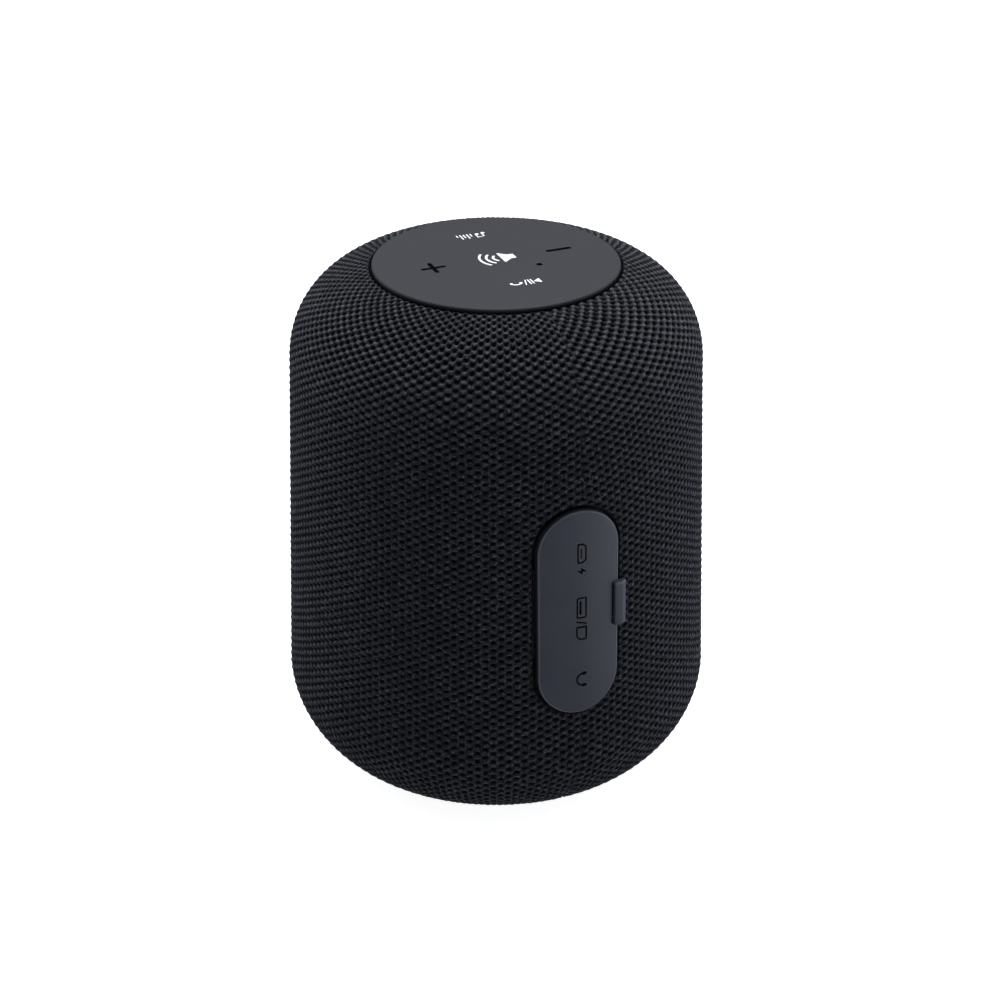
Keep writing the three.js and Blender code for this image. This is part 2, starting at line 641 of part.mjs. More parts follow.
/** Rubber cover that follows the body's curve, with a pull tab lapping over the sleeve. */
function portFlap() {
  const shell = bodyFilled(-FLAP_PROUD).subtract(bodyFilled(FLAP_INSET));
  const cover = extrudedY(pill(0), 20, REACH).intersect(shell);
  const tabShell = bodyFilled(-FLAP_PROUD - 1).subtract(bodyFilled(-GAP));
  const tab = box([-10.4, 20, 49], [-7.6, REACH, 58.6]).intersect(tabShell);
  return cover.add(tab);
}

add('port_flap', portFlap(), darkRubber());
add('flap_anchor', box([7, BAY_FRONT + GAP, 43], [8.6, 40.9, 63]), darkRubber());

// ---------------------------------------------------------------- battery

const CELL_PLACE = [22.5, 8];
const CELL_RADIUS = 9.1;
const CELL_LOW = 18;
const CELL_HIGH = 83;

function batteryCell() {
  return turned([
    [0, CELL_LOW], [CELL_RADIUS - 0.4, CELL_LOW], [CELL_RADIUS, CELL_LOW + 0.4], [CELL_RADIUS, CELL_HIGH - 2],
    [CELL_RADIUS - 0.5, CELL_HIGH - 1.5], [3.2, CELL_HIGH - 1.5], [3.2, CELL_HIGH], [0, CELL_HIGH],
  ], MEDIUM).translate([...CELL_PLACE, 0]);
}

/** Open tray round the outer side of the cell, with end stops and two tabs towards the barrel. */
function batteryCradle() {
  const tube = ring(CELL_RADIUS + GAP, 11, CELL_LOW - 1.8, CELL_HIGH + 1.8);
  const stops = join(disc(11, CELL_LOW - 1.8, CELL_LOW - GAP), disc(11, CELL_HIGH + GAP, CELL_HIGH + 1.8));
  const opening = box([-12, -12, 0], [-2, 12, HEIGHT]);
  const tabs = [30, 70].map((z) => box([10, -2, z], [15, 2, z + 4]));
  const turn = THREE.MathUtils.radToDeg(Math.atan2(CELL_PLACE[1], CELL_PLACE[0]));
  return cut(join(tube, stops, ...tabs), opening).rotate([0, 0, turn]).translate([...CELL_PLACE, 0]);
}

add('battery_cell', batteryCell(), wrap());
add('battery_cradle', batteryCradle(), blackPlastic());

// ---------------------------------------------------------------- leads

add('battery_lead', lead([
  [15.2, 5.4, 17.2], [12, 6, 14.6], [6, 9, 13.6], [0, 12, 15], [-3.4, 12.5, 20], [-4, 12.5, 26.4],
], 2.6, 1.3, 14), wire());

add('speaker_lead', lead([
  [-2, -12.5, 28.6], [-2.6, -8, 26.4], [-3.4, -2, 25.4], [-4, 4, 25.4], [-4, 7.6, 25.4],
], 2.6, 1.3, 9), wire());

/** Flat ribbon from under the key board to the top edge of the main board. */
add('key_ribbon', lead([
  [-10, 10, 102.4], [-9, 10, 96], [-5.4, 10, 90], [-4, 10, 85], [-4, 10, 79.4],
], 8, 0.5, 10), trimPlastic());

// ---------------------------------------------------------------- base

const BASE_BOTTOM = 1.2;
const BASE_TOP = FLOOR_BOTTOM - 0.9;
const BASE_RIM = RIM_RADIUS - 0.4;
const FOOT_INNER = 21.7;
const FOOT_OUTER = 28.1;
const BASE_HEAD = 2; // screw heads sunk in the base, under the foot
const BASE_HEAD_SEAT = 3.1;

function basePlate() {
  const plate = turned([
    [0, BASE_BOTTOM], [FOOT_INNER - GAP, BASE_BOTTOM], [FOOT_INNER - GAP, BASE_BOTTOM + 0.7],
    [FOOT_OUTER + GAP, BASE_BOTTOM + 0.7], [FOOT_OUTER + GAP, BASE_BOTTOM], [BASE_RIM, BASE_BOTTOM],
    [BASE_RIM, BASE_TOP], [18, BASE_TOP], [18, BASE_TOP - 1.5], [0, BASE_TOP - 1.5],
  ]);
  const holes = around(BASE_SCREWS, (angle) => join(
    disc(SHANK_HOLE, 1, BASE_TOP + 1, SMALL),
    disc(BASE_HEAD + 0.4, 1, BASE_HEAD_SEAT + GAP, SMALL),
  ).translate([...polar(BASE_SCREW_CIRCLE, angle), 0]));
  return cut(plate, ...holes);
}

/** Soft ring that the speaker stands on, with its edges eased. */
const footRing = () => turned([
  [FOOT_INNER, 0.4], [FOOT_INNER + 0.4, 0], [FOOT_OUTER - 0.4, 0], [FOOT_OUTER, 0.4],
  [FOOT_OUTER, BASE_BOTTOM + 0.4], [FOOT_INNER, BASE_BOTTOM + 0.4],
]);

add('base_plate', basePlate(), blackPlastic());
add('base_seal', ring(27, 29.4, BASE_TOP + GAP, FLOOR_BOTTOM - GAP, ROUND), foam());
add('foot_ring', footRing(), darkRubber());

around(BASE_SCREWS, (angle) =>
  screw(BASE_HEAD, 1.1, SHANK, 8.5).rotate([180, 0, 0])
    .translate([...polar(BASE_SCREW_CIRCLE, angle), BASE_HEAD_SEAT]),
).forEach((part, i) => add(`base_screw_${i + 1}`, part, zincSteel()));

export default speaker;
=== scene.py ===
"""Looks of a small portable speaker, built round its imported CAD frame.

The frame holds every hard piece in its real place. This script adds the knitted
sleeve, the rubber key panel, the port flap and the other outside surfaces, and
gives each piece that stays visible a procedural material. Lengths are written in
millimetres and multiplied by MM. The driver side is -Y and the port flap is +Y.
"""
import json
import math
from contextlib import contextmanager

import bmesh
import bpy
import numpy as np
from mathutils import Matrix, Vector
from mathutils.geometry import delaunay_2d_cdt


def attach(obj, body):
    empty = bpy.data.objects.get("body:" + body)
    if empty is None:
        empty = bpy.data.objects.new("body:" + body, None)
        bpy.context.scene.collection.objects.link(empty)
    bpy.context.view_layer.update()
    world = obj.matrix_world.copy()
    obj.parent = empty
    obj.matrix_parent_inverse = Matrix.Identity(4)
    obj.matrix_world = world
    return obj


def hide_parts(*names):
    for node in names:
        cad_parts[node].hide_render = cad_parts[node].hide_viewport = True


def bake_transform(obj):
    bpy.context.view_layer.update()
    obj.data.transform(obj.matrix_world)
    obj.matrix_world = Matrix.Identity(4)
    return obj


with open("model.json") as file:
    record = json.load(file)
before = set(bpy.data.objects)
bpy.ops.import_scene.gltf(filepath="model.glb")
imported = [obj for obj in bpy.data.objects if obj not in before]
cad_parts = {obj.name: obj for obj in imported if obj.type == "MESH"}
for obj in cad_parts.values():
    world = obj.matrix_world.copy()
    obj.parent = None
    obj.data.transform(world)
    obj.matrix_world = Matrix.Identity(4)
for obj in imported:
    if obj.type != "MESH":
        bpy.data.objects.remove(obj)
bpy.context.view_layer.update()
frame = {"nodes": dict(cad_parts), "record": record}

MM = 0.001

# ---------------------------------------------------------------- camera and light
CAMERA_AZIMUTH = math.radians(158.04)
CAMERA_RISE = 0.4886
CAMERA_DISTANCE = 520 * MM
CAMERA_AIM = (0, 0, 50 * MM)
CAMERA_LENS = 87.17
CAMERA_SHIFT = (0.0039, 0.0309)
COOL = (0.80, 0.85, 1.0)
PALE_COOL = (0.84, 0.88, 1.0)
NEAR_WHITE = (0.96, 0.975, 1.0)
FLOOR_GLOW = 0.92
FLOOR_HALF = 6000
WORLD_COLOUR = (0.80, 0.84, 1.0, 1)
WORLD_STRENGTH = 0.16


def placed(name, data, place, way):
    """A new object for a camera or light at place, looking along way."""
    made = bpy.data.objects.new(name, data)
    made.location = place
    made.rotation_mode = "QUATERNION"
    made.rotation_quaternion = way.to_track_quat("-Z", "Y")
    bpy.context.collection.objects.link(made)
    return made


def camera():
    """The photograph's viewpoint: behind the speaker, a little to the flap's left, from above."""
    data = bpy.data.cameras.new("camera")
    data.lens = CAMERA_LENS
    data.sensor_width = 36
    data.shift_x, data.shift_y = CAMERA_SHIFT
    data.dof.use_dof = False
    data.clip_start, data.clip_end = 0.01, 20
    back = Vector(towards(0, math.cos(CAMERA_RISE), math.sin(CAMERA_RISE)))
    place = Vector(CAMERA_AIM) + back * CAMERA_DISTANCE
    bpy.context.scene.camera = placed("camera", data, place, -back)


def softbox(name, place, aim, size, watts, colour):
    """A rectangular studio light at place, turned to aim."""
    data = bpy.data.lights.new(name, "AREA")
    data.shape = "RECTANGLE"
    data.size, data.size_y = size
    data.energy = watts
    data.color = colour
    placed(name, data, place, Vector(aim) - Vector(place)).visible_camera = False


def towards(azimuth, distance, height):
    """A point that many degrees round from the camera, at that distance and height in metres."""
    a = CAMERA_AZIMUTH + math.radians(azimuth)
    return (math.sin(a) * distance, -math.cos(a) * distance, height)


# ---------------------------------------------------------------- node helpers
def wire(tree, target, inputs):
    """Links each input of a node to the socket given for it, or sets it to the value given."""
    for key, value in inputs.items():
        if isinstance(value, bpy.types.NodeSocket):
            tree.links.new(value, target.inputs[key])
        else:
            target.inputs[key].default_value = value


def node(tree, kind, inputs=None, **settings):
    """Adds a node, sets its settings, and sets or links its inputs."""
    made = tree.nodes.new(kind)
    for key, value in settings.items():
        setattr(made, key, value)
    wire(tree, made, inputs or {})
    return made


def maths(tree, operation, *values, clamp=False):
    """One Math node's result."""
    made = node(tree, "ShaderNodeMath", dict(enumerate(values)), operation=operation)
    made.use_clamp = clamp
    return made.outputs[0]


def blended(tree, factor, low, high):
    """A colour between low and high."""
    low, high = [c if isinstance(c, bpy.types.NodeSocket) else (*c, 1) for c in (low, high)]
    return node(tree, "ShaderNodeMix", {0: factor, 6: low, 7: high}, data_type="RGBA").outputs[2]


def remap(tree, value, low, high, to_low, to_high):
    """value's range low..high mapped smoothly to to_low..to_high."""
    made = node(tree, "ShaderNodeMapRange", {0: value, 1: low, 2: high, 3: to_low, 4: to_high},
                interpolation_type="SMOOTHSTEP")
    return made.outputs[0]


def noise(tree, vector, scale, detail, roughness=0.5):
    """A Noise texture's value."""
    return node(tree, "ShaderNodeTexNoise", {"Vector": vector, "Scale": scale, "Detail": detail,
                                             "Roughness": roughness}).outputs[0]


def bumped(tree, height, distance):
    """A normal bumped by height times distance in millimetres."""
    return node(tree, "ShaderNodeBump", {"Height": height, "Distance": distance * MM,
                                         "Strength": 1.0}).outputs[0]


def new_material(name):
    """An empty material with a Principled shader: (material, tree, shader)."""
    made = bpy.data.materials.new(name)
    made.use_nodes = True
    tree = made.node_tree
    tree.nodes.clear()
    shader = node(tree, "ShaderNodeBsdfPrincipled")
    output = node(tree, "ShaderNodeOutputMaterial")
    tree.links.new(shader.outputs[0], output.inputs[0])
    return made, tree, shader


def moulded(name, colour, roughness, grain, depth, variation, metallic=0.0, specular=0.5, patch=9.0,
            rough_spread=0.08):
    """A moulded, rolled or painted surface.

    grain and patch are the sizes in millimetres of the fine texture and of the slow
    changes in tone, depth is the fine texture's height in millimetres, variation is
    how far the tone changes and rough_spread how far the roughness does.
    """
    made, tree, shader = new_material(name)
    place = node(tree, "ShaderNodeTexCoord").outputs["Object"]
    slow = noise(tree, place, 1 / (patch * MM), 3, 0.55)
    fine = noise(tree, place, 1 / (grain * MM), 4, 0.6)
    darker = [c * (1 - variation) for c in colour]
    lighter = [c * (1 + variation) for c in colour]
    tone = remap(tree, slow, 0.3, 0.7, 0, 1)
    wear = maths(tree, "MULTIPLY_ADD", fine, rough_spread * 2, roughness - rough_spread)
    wire(tree, shader, {
        "Base Color": blended(tree, tone, darker, lighter),
        "Roughness": maths(tree, "MULTIPLY_ADD", slow, rough_spread, wear, clamp=True),
        "Normal": bumped(tree, fine, depth), "Metallic": metallic, "Specular IOR Level": specular,
    })
    return made


# ---------------------------------------------------------------- mesh helpers
WELD = 0.0005


def piece(name, points, faces, material, smooth=True, normals=None):
    """An object from faces between points in millimetres."""
    mesh = bpy.data.meshes.new(name)
    mesh.from_pydata([tuple(float(c) * MM for c in p) for p in points], [], faces)
    mesh.polygons.foreach_set("use_smooth", [smooth] * len(mesh.polygons))
    mesh.materials.append(material)
    if normals is not None:
        mesh.normals_split_custom_set_from_vertices(normals)
    mesh.update()
    made = bpy.data.objects.new(name, mesh)
    bpy.context.collection.objects.link(made)
    return made


def arc(centre, radius, start, end, steps):
    """Points on an arc, angles in degrees."""
    turns = np.radians(np.linspace(start, end, steps + 1))
    return [(centre[0] + radius * math.cos(t), centre[1] + radius * math.sin(t)) for t in turns]


def circle(centre, radius, steps):
    """Points round a full circle."""
    return arc(centre, radius, 0, 360, steps)[:-1]


def rounded(outline, radii, steps):
    """A closed outline with its corners rounded; radii is one number or one for each corner."""
    count = len(outline)
    radii = [radii] * count if isinstance(radii, (int, float)) else radii
    made = []
    for i, (corner, radius) in enumerate(zip(outline, radii)):
        corner = np.array(corner, float)
        before = outline[i - 1] - corner
        after = outline[(i + 1) % count] - corner
        reach_before, reach_after = np.linalg.norm(before), np.linalg.norm(after)
        before, after = before / reach_before, after / reach_after
        half = math.acos(max(-1, min(1, float(before @ after)))) / 2
        if radius <= 0 or half > math.pi / 2 - 0.01:
            made.append(tuple(corner))
            continue
        reach = min(radius / math.tan(half), reach_before * 0.49, reach_after * 0.49)
        radius = reach * math.tan(half)
        middle = (before + after) / np.linalg.norm(before + after)
        centre = corner + middle * (radius / math.sin(half))
        first, last = corner + before * reach - centre, corner + after * reach - centre
        turn = math.atan2(first[0] * last[1] - first[1] * last[0], float(first @ last))
        base = math.atan2(first[1], first[0])
        made += arc(centre, radius, math.degrees(base), math.degrees(base + turn), steps)
    return made


def lathe(name, outline, material, steps=192, closed=True):
    """An outline of (radius, height) points turned round the Z axis."""
    points, faces = [], []
    count = len(outline)
    for i in range(steps):
        t = 2 * math.pi * i / steps
        points += [(r * math.cos(t), r * math.sin(t), z) for r, z in outline]
        a, b = i * count, (i + 1) % steps * count
        for k in range(count if closed else count - 1):
            m = (k + 1) % count
            faces.append((a + k, b + k, b + m, a + m))
    return piece(name, points, faces, material)


def strip(name, rings, material):
    """Quads between closed rings of the same number of points."""
    count = len(rings[0])
    faces = []
    for a in range(0, (len(rings) - 1) * count, count):
        for k in range(count):
            m = (k + 1) % count
            faces.append((a + k, a + m, a + count + m, a + count + k))
    return piece(name, [p for ring in rings for p in ring], faces, material)


@contextmanager
def edited(thing):
    """The object's mesh, open for editing and written back afterwards."""
    mesh = bmesh.new()
    mesh.from_mesh(thing.data)
    mesh.verts.ensure_lookup_table()
    yield mesh
    mesh.to_mesh(thing.data)
    mesh.free()


def solid(thing, *caps):
    """Closes a shape with a face for each cap of vertex numbers and points its faces out."""
    with edited(thing) as mesh:
        for cap in caps:
            mesh.faces.new([mesh.verts[k] for k in cap])
        bmesh.ops.recalc_face_normals(mesh, faces=mesh.faces)
    return thing


def facing(thing, way):
    """Turns each face of an open surface to the side that way(its middle) points to."""
    with edited(thing) as mesh:
        for face in mesh.faces:
            face.normal_update()
            if face.normal.dot(way(face.calc_center_median())) < 0:
                face.normal_flip()
    return thing


def facing_up(thing):
    """Turns every face of an open surface upwards."""
    return facing(thing, lambda middle: Vector((0, 0, 1)))


def joined(things, name):
    """Several meshes as one object, with shared edges welded."""
    with bpy.context.temp_override(active_object=things[0], selected_editable_objects=things):
        bpy.ops.object.join()
    whole = things[0]
    whole.name = whole.data.name = name
    with edited(whole) as mesh:
        bmesh.ops.remove_doubles(mesh, verts=mesh.verts, dist=WELD * MM)
    return whole


def smoothed(thing, degrees):
    """Smooth shading with edges steeper than that kept crisp."""
    thing.data.polygons.foreach_set("use_smooth", [True] * len(thing.data.polygons))
    return sharpen(thing, degrees)


def sharpen(thing, degrees):
    """Keeps edges steeper than that crisp."""
    thing.data.set_sharp_from_angle(angle=math.radians(degrees))
    return thing


# ---------------------------------------------------------------- flat marks
def near_point(p, centre=(0, 0)):
    """Distance from points p to a point, or from each to its own."""
    return np.linalg.norm(p - np.array(centre, float), axis=1)


def near_segment(p, a, b):
    """Distance from points p to the segment a-b."""
    a, b = np.array(a, float), np.array(b, float)
    along = b - a
    t = np.clip(((p - a) @ along) / max(float(along @ along), 1e-12), 0, 1)
    return near_point(p, a + t[:, None] * along)


def near_box(p, centre, size, corner=0.0):
    """Signed distance from points p to a rounded rectangle."""
    q = np.abs(p - np.array(centre, float)) - np.array(size, float) / 2 + corner
    return near_point(np.maximum(q, 0)) + np.minimum(np.maximum(q[:, 0], q[:, 1]), 0) - corner


def near_arc(p, centre, radius, start, end):
    """Distance from points p to an arc, angles in degrees, end above start."""
    q = p - np.array(centre, float)
    turn = (np.degrees(np.arctan2(q[:, 1], q[:, 0])) - start) % 360
    ring = np.abs(near_point(q) - radius)
    tips = arc((0, 0), radius, start, end, 1)
    ends = np.minimum(*[near_point(q, tip) for tip in tips])
    return np.where(turn <= end - start, ring, ends)


def near_polygon(p, corners):
    """Signed distance from points p to a closed polygon."""
    distance = np.full(len(p), 1e9)
    inside = np.zeros(len(p), bool)
    for i, a in enumerate(corners):
        b = corners[(i + 1) % len(corners)]
        distance = np.minimum(distance, near_segment(p, a, b))
        crosses = (a[1] > p[:, 1]) != (b[1] > p[:, 1])
        rise = b[1] - a[1] if b[1] != a[1] else 1e-12
        at = a[0] + (p[:, 1] - a[1]) / rise * (b[0] - a[0])
        inside ^= crosses & (p[:, 0] < at)
    return np.where(inside, -distance, distance)


def contours(field, box, level, step):
    """Closed loops where field equals level, inside box = (x0, y0, x1, y1)."""
    xs = np.arange(box[0], box[2] + step, step)
    ys = np.arange(box[1], box[3] + step, step)
    grid = np.array([(x, y) for y in ys for x in xs])
    value = field(grid).reshape(len(ys), len(xs)) - level
    value[np.abs(value) < 1e-9] = 1e-9
    where, links = {}, {}

    def crossing(i, j, across):
        key = (i, j, across)
        if key not in where:
            other = value[j, i + 1] if across else value[j + 1, i]
            t = min(max(value[j, i] / (value[j, i] - other), 0.02), 0.98)
            where[key] = (xs[i] + (t * step if across else 0), ys[j] + (0 if across else t * step))
        return key

    for j in range(len(ys) - 1):
        for i in range(len(xs) - 1):
            below = [value[y, x] < 0 for x, y in ((i, j), (i + 1, j), (i + 1, j + 1), (i, j + 1))]
            sides = ((i, j, True), (i + 1, j, False), (i, j + 1, True), (i, j, False))
            found = [crossing(*side) for k, side in enumerate(sides) if below[k] != below[(k + 1) % 4]]
            for a, b in zip(found[::2], found[1::2]):
                links.setdefault(a, []).append(b)
                links.setdefault(b, []).append(a)
    loops, used = [], set()
    for start in links:
        if start in used:
            continue
        loop, here = [], start
        while here is not None and here not in used:
            used.add(here)
            loop.append(where[here])
            here = next((k for k in links[here] if k not in used), None)
        if len(loop) > 5:
            loops.append(loop)
    return loops


def thinned(loop, tolerance=0.006):
    """A loop without the points that its neighbours already give."""
    kept = [loop[0]]
    for i in range(1, len(loop) - 1):
        a, b, c = np.array(kept[-1]), np.array(loop[i]), np.array(loop[i + 1])
        way = c - a
        far = abs(way[0] * (b - a)[1] - way[1] * (b - a)[0]) / max(np.linalg.norm(way), 1e-9)
        if far > tolerance or np.linalg.norm(b - a) > 0.5:
            kept.append(loop[i])
    kept.append(loop[-1])
    return kept


def carved(loops, fill, inside):
    """Triangles over a flat region.

    loops are closed edges that the triangles follow, fill more points inside the
    region, and inside(points) tells which triangle middles belong to it.
    """
    points, edges = [], []
    for loop in loops:
        first = len(points)
        points += [Vector(p) for p in loop]
        edges += [(first + i, first + (i + 1) % len(loop)) for i in range(len(loop))]
    points += [Vector(p) for p in fill]
    flat, _, faces, _, _, _ = delaunay_2d_cdt(points, edges, [], 0, 1e-5)
    flat = np.array([tuple(p) for p in flat])
    faces = [tuple(f) for f in faces]
    middles = np.array([flat[list(f)].mean(axis=0) for f in faces])
    keep = inside(middles)
    return flat, [f for f, k in zip(faces, keep) if k]


def scatter(box, step, allowed):
    """A staggered field of points inside box where allowed(points) holds."""
    rows = []
    for k, y in enumerate(np.arange(box[1], box[3], step * 0.87)):
        rows += [(x + (k % 2) * step / 2, y) for x in np.arange(box[0], box[2], step)]
    grid = np.array(rows)
    return [tuple(p) for p in grid[allowed(grid)]]


# ---------------------------------------------------------------- the body's outside
SHOULDER = dict(radius=20.6, z=91.3, reach=22, rise=20.3, power=2.18)
HEEL = dict(radius=28.5, z=20.8, reach=16.5, rise=19.8, power=1.8)
SLEEVE_TOP_RADIUS = 25.98
SLEEVE_BOTTOM_RADIUS = 30.2
FLAP_Z = 53.3
FLAP_HALF_WIDTH = 8.7
FLAP_HALF_HEIGHT = 22.6
FLAP_STRAIGHT = FLAP_HALF_HEIGHT - FLAP_HALF_WIDTH
FLAP_PROUD = 0.8
FLAP_BACK = -1.2
TAB_MIDDLE = 53.8


def superellipse(corner, start, end, sign, steps=400):
    """A shoulder or heel curve between two angles in radians, as (radius, height) rows."""
    turn = np.linspace(start, end, steps)
    r = corner["radius"] + corner["reach"] * np.abs(np.cos(turn)) ** (2 / corner["power"])
    z = corner["z"] + sign * corner["rise"] * np.abs(np.sin(turn)) ** (2 / corner["power"])
    return np.stack([r, z], axis=1)


def angle_at(corner, radius):
    """The superellipse angle where the curve has that radius."""
    return math.acos(((radius - corner["radius"]) / corner["reach"]) ** (corner["power"] / 2))


def body_profile():
    """The sleeve's outer surface from its top edge to its bottom edge: rows and arc length."""
    top = superellipse(SHOULDER, angle_at(SHOULDER, SLEEVE_TOP_RADIUS), 0, 1)
    bottom = superellipse(HEEL, 0, angle_at(HEEL, SLEEVE_BOTTOM_RADIUS), -1)
    rows = np.concatenate([top, np.linspace(top[-1], bottom[0], 400)[1:-1], bottom])
    length = np.concatenate([[0], np.cumsum(np.linalg.norm(np.diff(rows, axis=0), axis=1))])
    return rows, length


PROFILE, PROFILE_LENGTH = body_profile()


def radius_at(z):
    """The sleeve's outer radius at a height."""
    return np.interp(z, PROFILE[::-1, 1], PROFILE[::-1, 0])


def stadium(x, z):
    """Signed distance from the port flap's outline, seen from straight behind."""
    beyond = np.maximum(np.abs(z - FLAP_Z) - FLAP_STRAIGHT, 0)
    return np.hypot(x, beyond) - FLAP_HALF_WIDTH


def inside_flap(p, margin):
    """Which (x, z) points lie further than margin inside the flap's outline."""
    return stadium(p[:, 0], p[:, 1]) < -margin


def stadium_loop(grow, steps=28):
    """The flap's outline grown by a distance in millimetres, as (x, z) points."""
    radius = FLAP_HALF_WIDTH + grow
    top = arc((0, FLAP_Z + FLAP_STRAIGHT), radius, 0, 180, steps)
    bottom = arc((0, FLAP_Z - FLAP_STRAIGHT), radius, 180, 360, steps)
    left = [(-radius, z) for z in np.linspace(top[-1][1], bottom[0][1], steps)[1:-1]]
    right = [(radius, z) for z in np.linspace(bottom[-1][1], top[0][1], steps)[1:-1]]
    return top + left + bottom + right


def on_body(x, z, height):
    """The point straight behind (x, z), that far outside the sleeve."""
    reach = radius_at(z) + height
    return (x, math.sqrt(max(reach * reach - x * x, 0)), z)


# ---------------------------------------------------------------- knitted sleeve
KNIT_COLUMNS = 176
KNIT_ROWS = 70
STEPS_PER_CELL = 4
ROW_PITCH = 1.78
SHOULDER_PITCH, SHOULDER_REACH = 0.26, 14
HEEL_PITCH, HEEL_START, HEEL_REACH = 0.4, 88, 20
ROW_SWING = 0.03
SEAM_TURN = math.radians(-0.8)
SEAM_SHIFT = 0.2
SEAM_GROOVE, SEAM_WIDTH = 0.34, 0.38
SEAM_FLATTER, SEAM_FLAT_WIDTH = 0.55, 0.55
LEAN_COLUMNS = 9
LEAN_WIDTH = 0.16
LEAN_HEIGHT = 52
HOLE_DEPTH = 0.55
SHOULDER_DEEPER = 1.2
KNOT_HEIGHT = 0.12
CELL_SPREAD = 0.13
EDGE_RELIEF, EDGE_WIDTH = 0.35, 0.9
CUT_MARGIN = 0.8
CUT_SINK = 0.3
CUT_CLEAR = 0.12
FAR_AWAY = 99
SEED = 11
FIBRE_SIZE = 0.5
AGED_SIZE = 7
YARN_DARK = (0.0022, 0.0028, 0.0044)
YARN_FLECK_GLINT = (0.041, 0.047, 0.066)
KNOT_HIGHLIGHT = (0.012, 0.014, 0.020)
BEAD_HIGHLIGHT = (0.085, 0.092, 0.114)
VALLEY_SHADE = (0.0014, 0.0018, 0.003)
AGED_TONE = (0.003, 0.003, 0.0042)
HOLE_SHADE = (0.0004, 0.0004, 0.0006)


def row_places(rows):
    """Arc length of each knit row: stretched over the shoulder and round the heel."""
    s = np.linspace(0, PROFILE_LENGTH[-1], 2000)
    heel = np.clip((s - HEEL_START) / HEEL_REACH, 0, 1)
    pitch = ROW_PITCH + SHOULDER_PITCH * np.exp(-(s / SHOULDER_REACH) ** 2)
    pitch += HEEL_PITCH * heel * heel * (3 - 2 * heel)
    count = np.concatenate([[0], np.cumsum(np.diff(s) / ((pitch[1:] + pitch[:-1]) / 2))])
    return np.interp(rows, count * (KNIT_ROWS / count[-1]), s)


def knit_grid():
    """Points, normals and knit coordinates of the whole sleeve, seam to seam."""
    n = STEPS_PER_CELL
    columns = np.arange(KNIT_COLUMNS * n + 1) / n
    rows = np.arange(KNIT_ROWS * n + 1) / n
    u, v = np.meshgrid(columns, rows, indexing="ij")
    turned = u / KNIT_COLUMNS
    # wales on one side of the seam lean towards it over the shoulder
    rise = np.clip(1 - row_places(v) / LEAN_HEIGHT, 0, 1)
    wale = u - LEAN_COLUMNS * np.exp(-((1 - turned) / LEAN_WIDTH) ** 2) * rise**2
    wave = np.cos(math.pi * (wale - 0.5))
    v_bent = v - ROW_SWING * wave * np.sin(2 * math.pi * v)
    v_moved = v_bent - SEAM_SHIFT * (1 - 2 * turned)
    s = row_places(np.clip(v_moved, 0, KNIT_ROWS))
    s[:, 0], s[:, -1] = 0, PROFILE_LENGTH[-1]
    theta = SEAM_TURN + 2 * math.pi * turned
    sine, cosine = np.sin(theta), np.cos(theta)

    rng = np.random.default_rng(SEED)
    cell = rng.normal(1, CELL_SPREAD, (KNIT_COLUMNS + 1, KNIT_ROWS * 2 + 2))
    column_index = np.floor(wale).astype(int) % KNIT_COLUMNS
    row_index = np.floor(v * 2 + 0.5).astype(int)
    vary = np.clip(cell[column_index, row_index], 0.6, 1.4)
    side = np.abs(wave)
    beat = np.cos(2 * math.pi * v) * np.sign(wave)
    hole = (side * (1 + beat) / 2) ** 1.5
    knot = (side * (1 - beat) / 2) ** 0.8
    r = np.interp(s, PROFILE_LENGTH, PROFILE[:, 0])
    z = np.interp(s, PROFILE_LENGTH, PROFILE[:, 1])
    slope = np.gradient(PROFILE, axis=0)
    slope /= np.linalg.norm(slope, axis=1)[:, None]
    out_r = np.interp(s, PROFILE_LENGTH, -slope[:, 1])
    out_z = np.interp(s, PROFILE_LENGTH, slope[:, 0])
    depth = HOLE_DEPTH * (1 + SHOULDER_DEEPER * np.maximum(out_z, 0))
    relief = (KNOT_HEIGHT * knot - depth * hole) * vary

    seam = np.minimum(turned, 1 - turned) * 2 * math.pi * r
    relief *= 1 - SEAM_FLATTER * np.exp(-(seam / SEAM_FLAT_WIDTH) ** 2)
    relief -= SEAM_GROOVE * np.exp(-(seam / SEAM_WIDTH) ** 2)
    edge = np.minimum(s, PROFILE_LENGTH[-1] - s)
    relief *= EDGE_RELIEF + (1 - EDGE_RELIEF) * np.clip(edge / EDGE_WIDTH, 0, 1)
    behind = cosine > 0.5
    near = np.where(behind, stadium(r * sine, z) - CUT_MARGIN, FAR_AWAY)
    fade = np.clip(near, 0, 1)
    relief = relief * fade - CUT_SINK * (1 - fade) ** 2

    reach = r + out_r * relief
    points = np.stack([reach * sine, reach * cosine, z + out_z * relief], axis=2)
    # the cut round the flap: points inside it slide out to its edge
    inside = behind & (near < 0)
    dx, lift = points[..., 0], points[..., 2] - FLAP_Z
    spine = np.clip(lift, -FLAP_STRAIGHT, FLAP_STRAIGHT)
    dz = lift - spine
    grow = (FLAP_HALF_WIDTH + CUT_MARGIN) / np.maximum(np.hypot(dx, dz), 1e-6)
    cut_x, cut_z = dx * grow, FLAP_Z + spine + dz * grow
    cut_r = radius_at(cut_z) - CUT_SINK
    cut_y = np.sqrt(np.maximum(cut_r**2 - cut_x**2, 0))
    points = np.where(inside[..., None], np.stack([cut_x, cut_y, cut_z], axis=2), points)

    along = np.gradient(points, axis=0)
    down = np.gradient(points, axis=1)
    middle = KNIT_COLUMNS * n // 2
    normals = np.cross(along, down)
    normals /= np.maximum(np.linalg.norm(normals, axis=2), 1e-9)[..., None]
    flip = np.sign((normals * np.stack([sine, cosine, out_z], axis=2)).sum(axis=2))
    normals *= np.where(flip == 0, 1, flip)[..., None]
    return points, normals, np.stack([wale, v], axis=2), near, middle


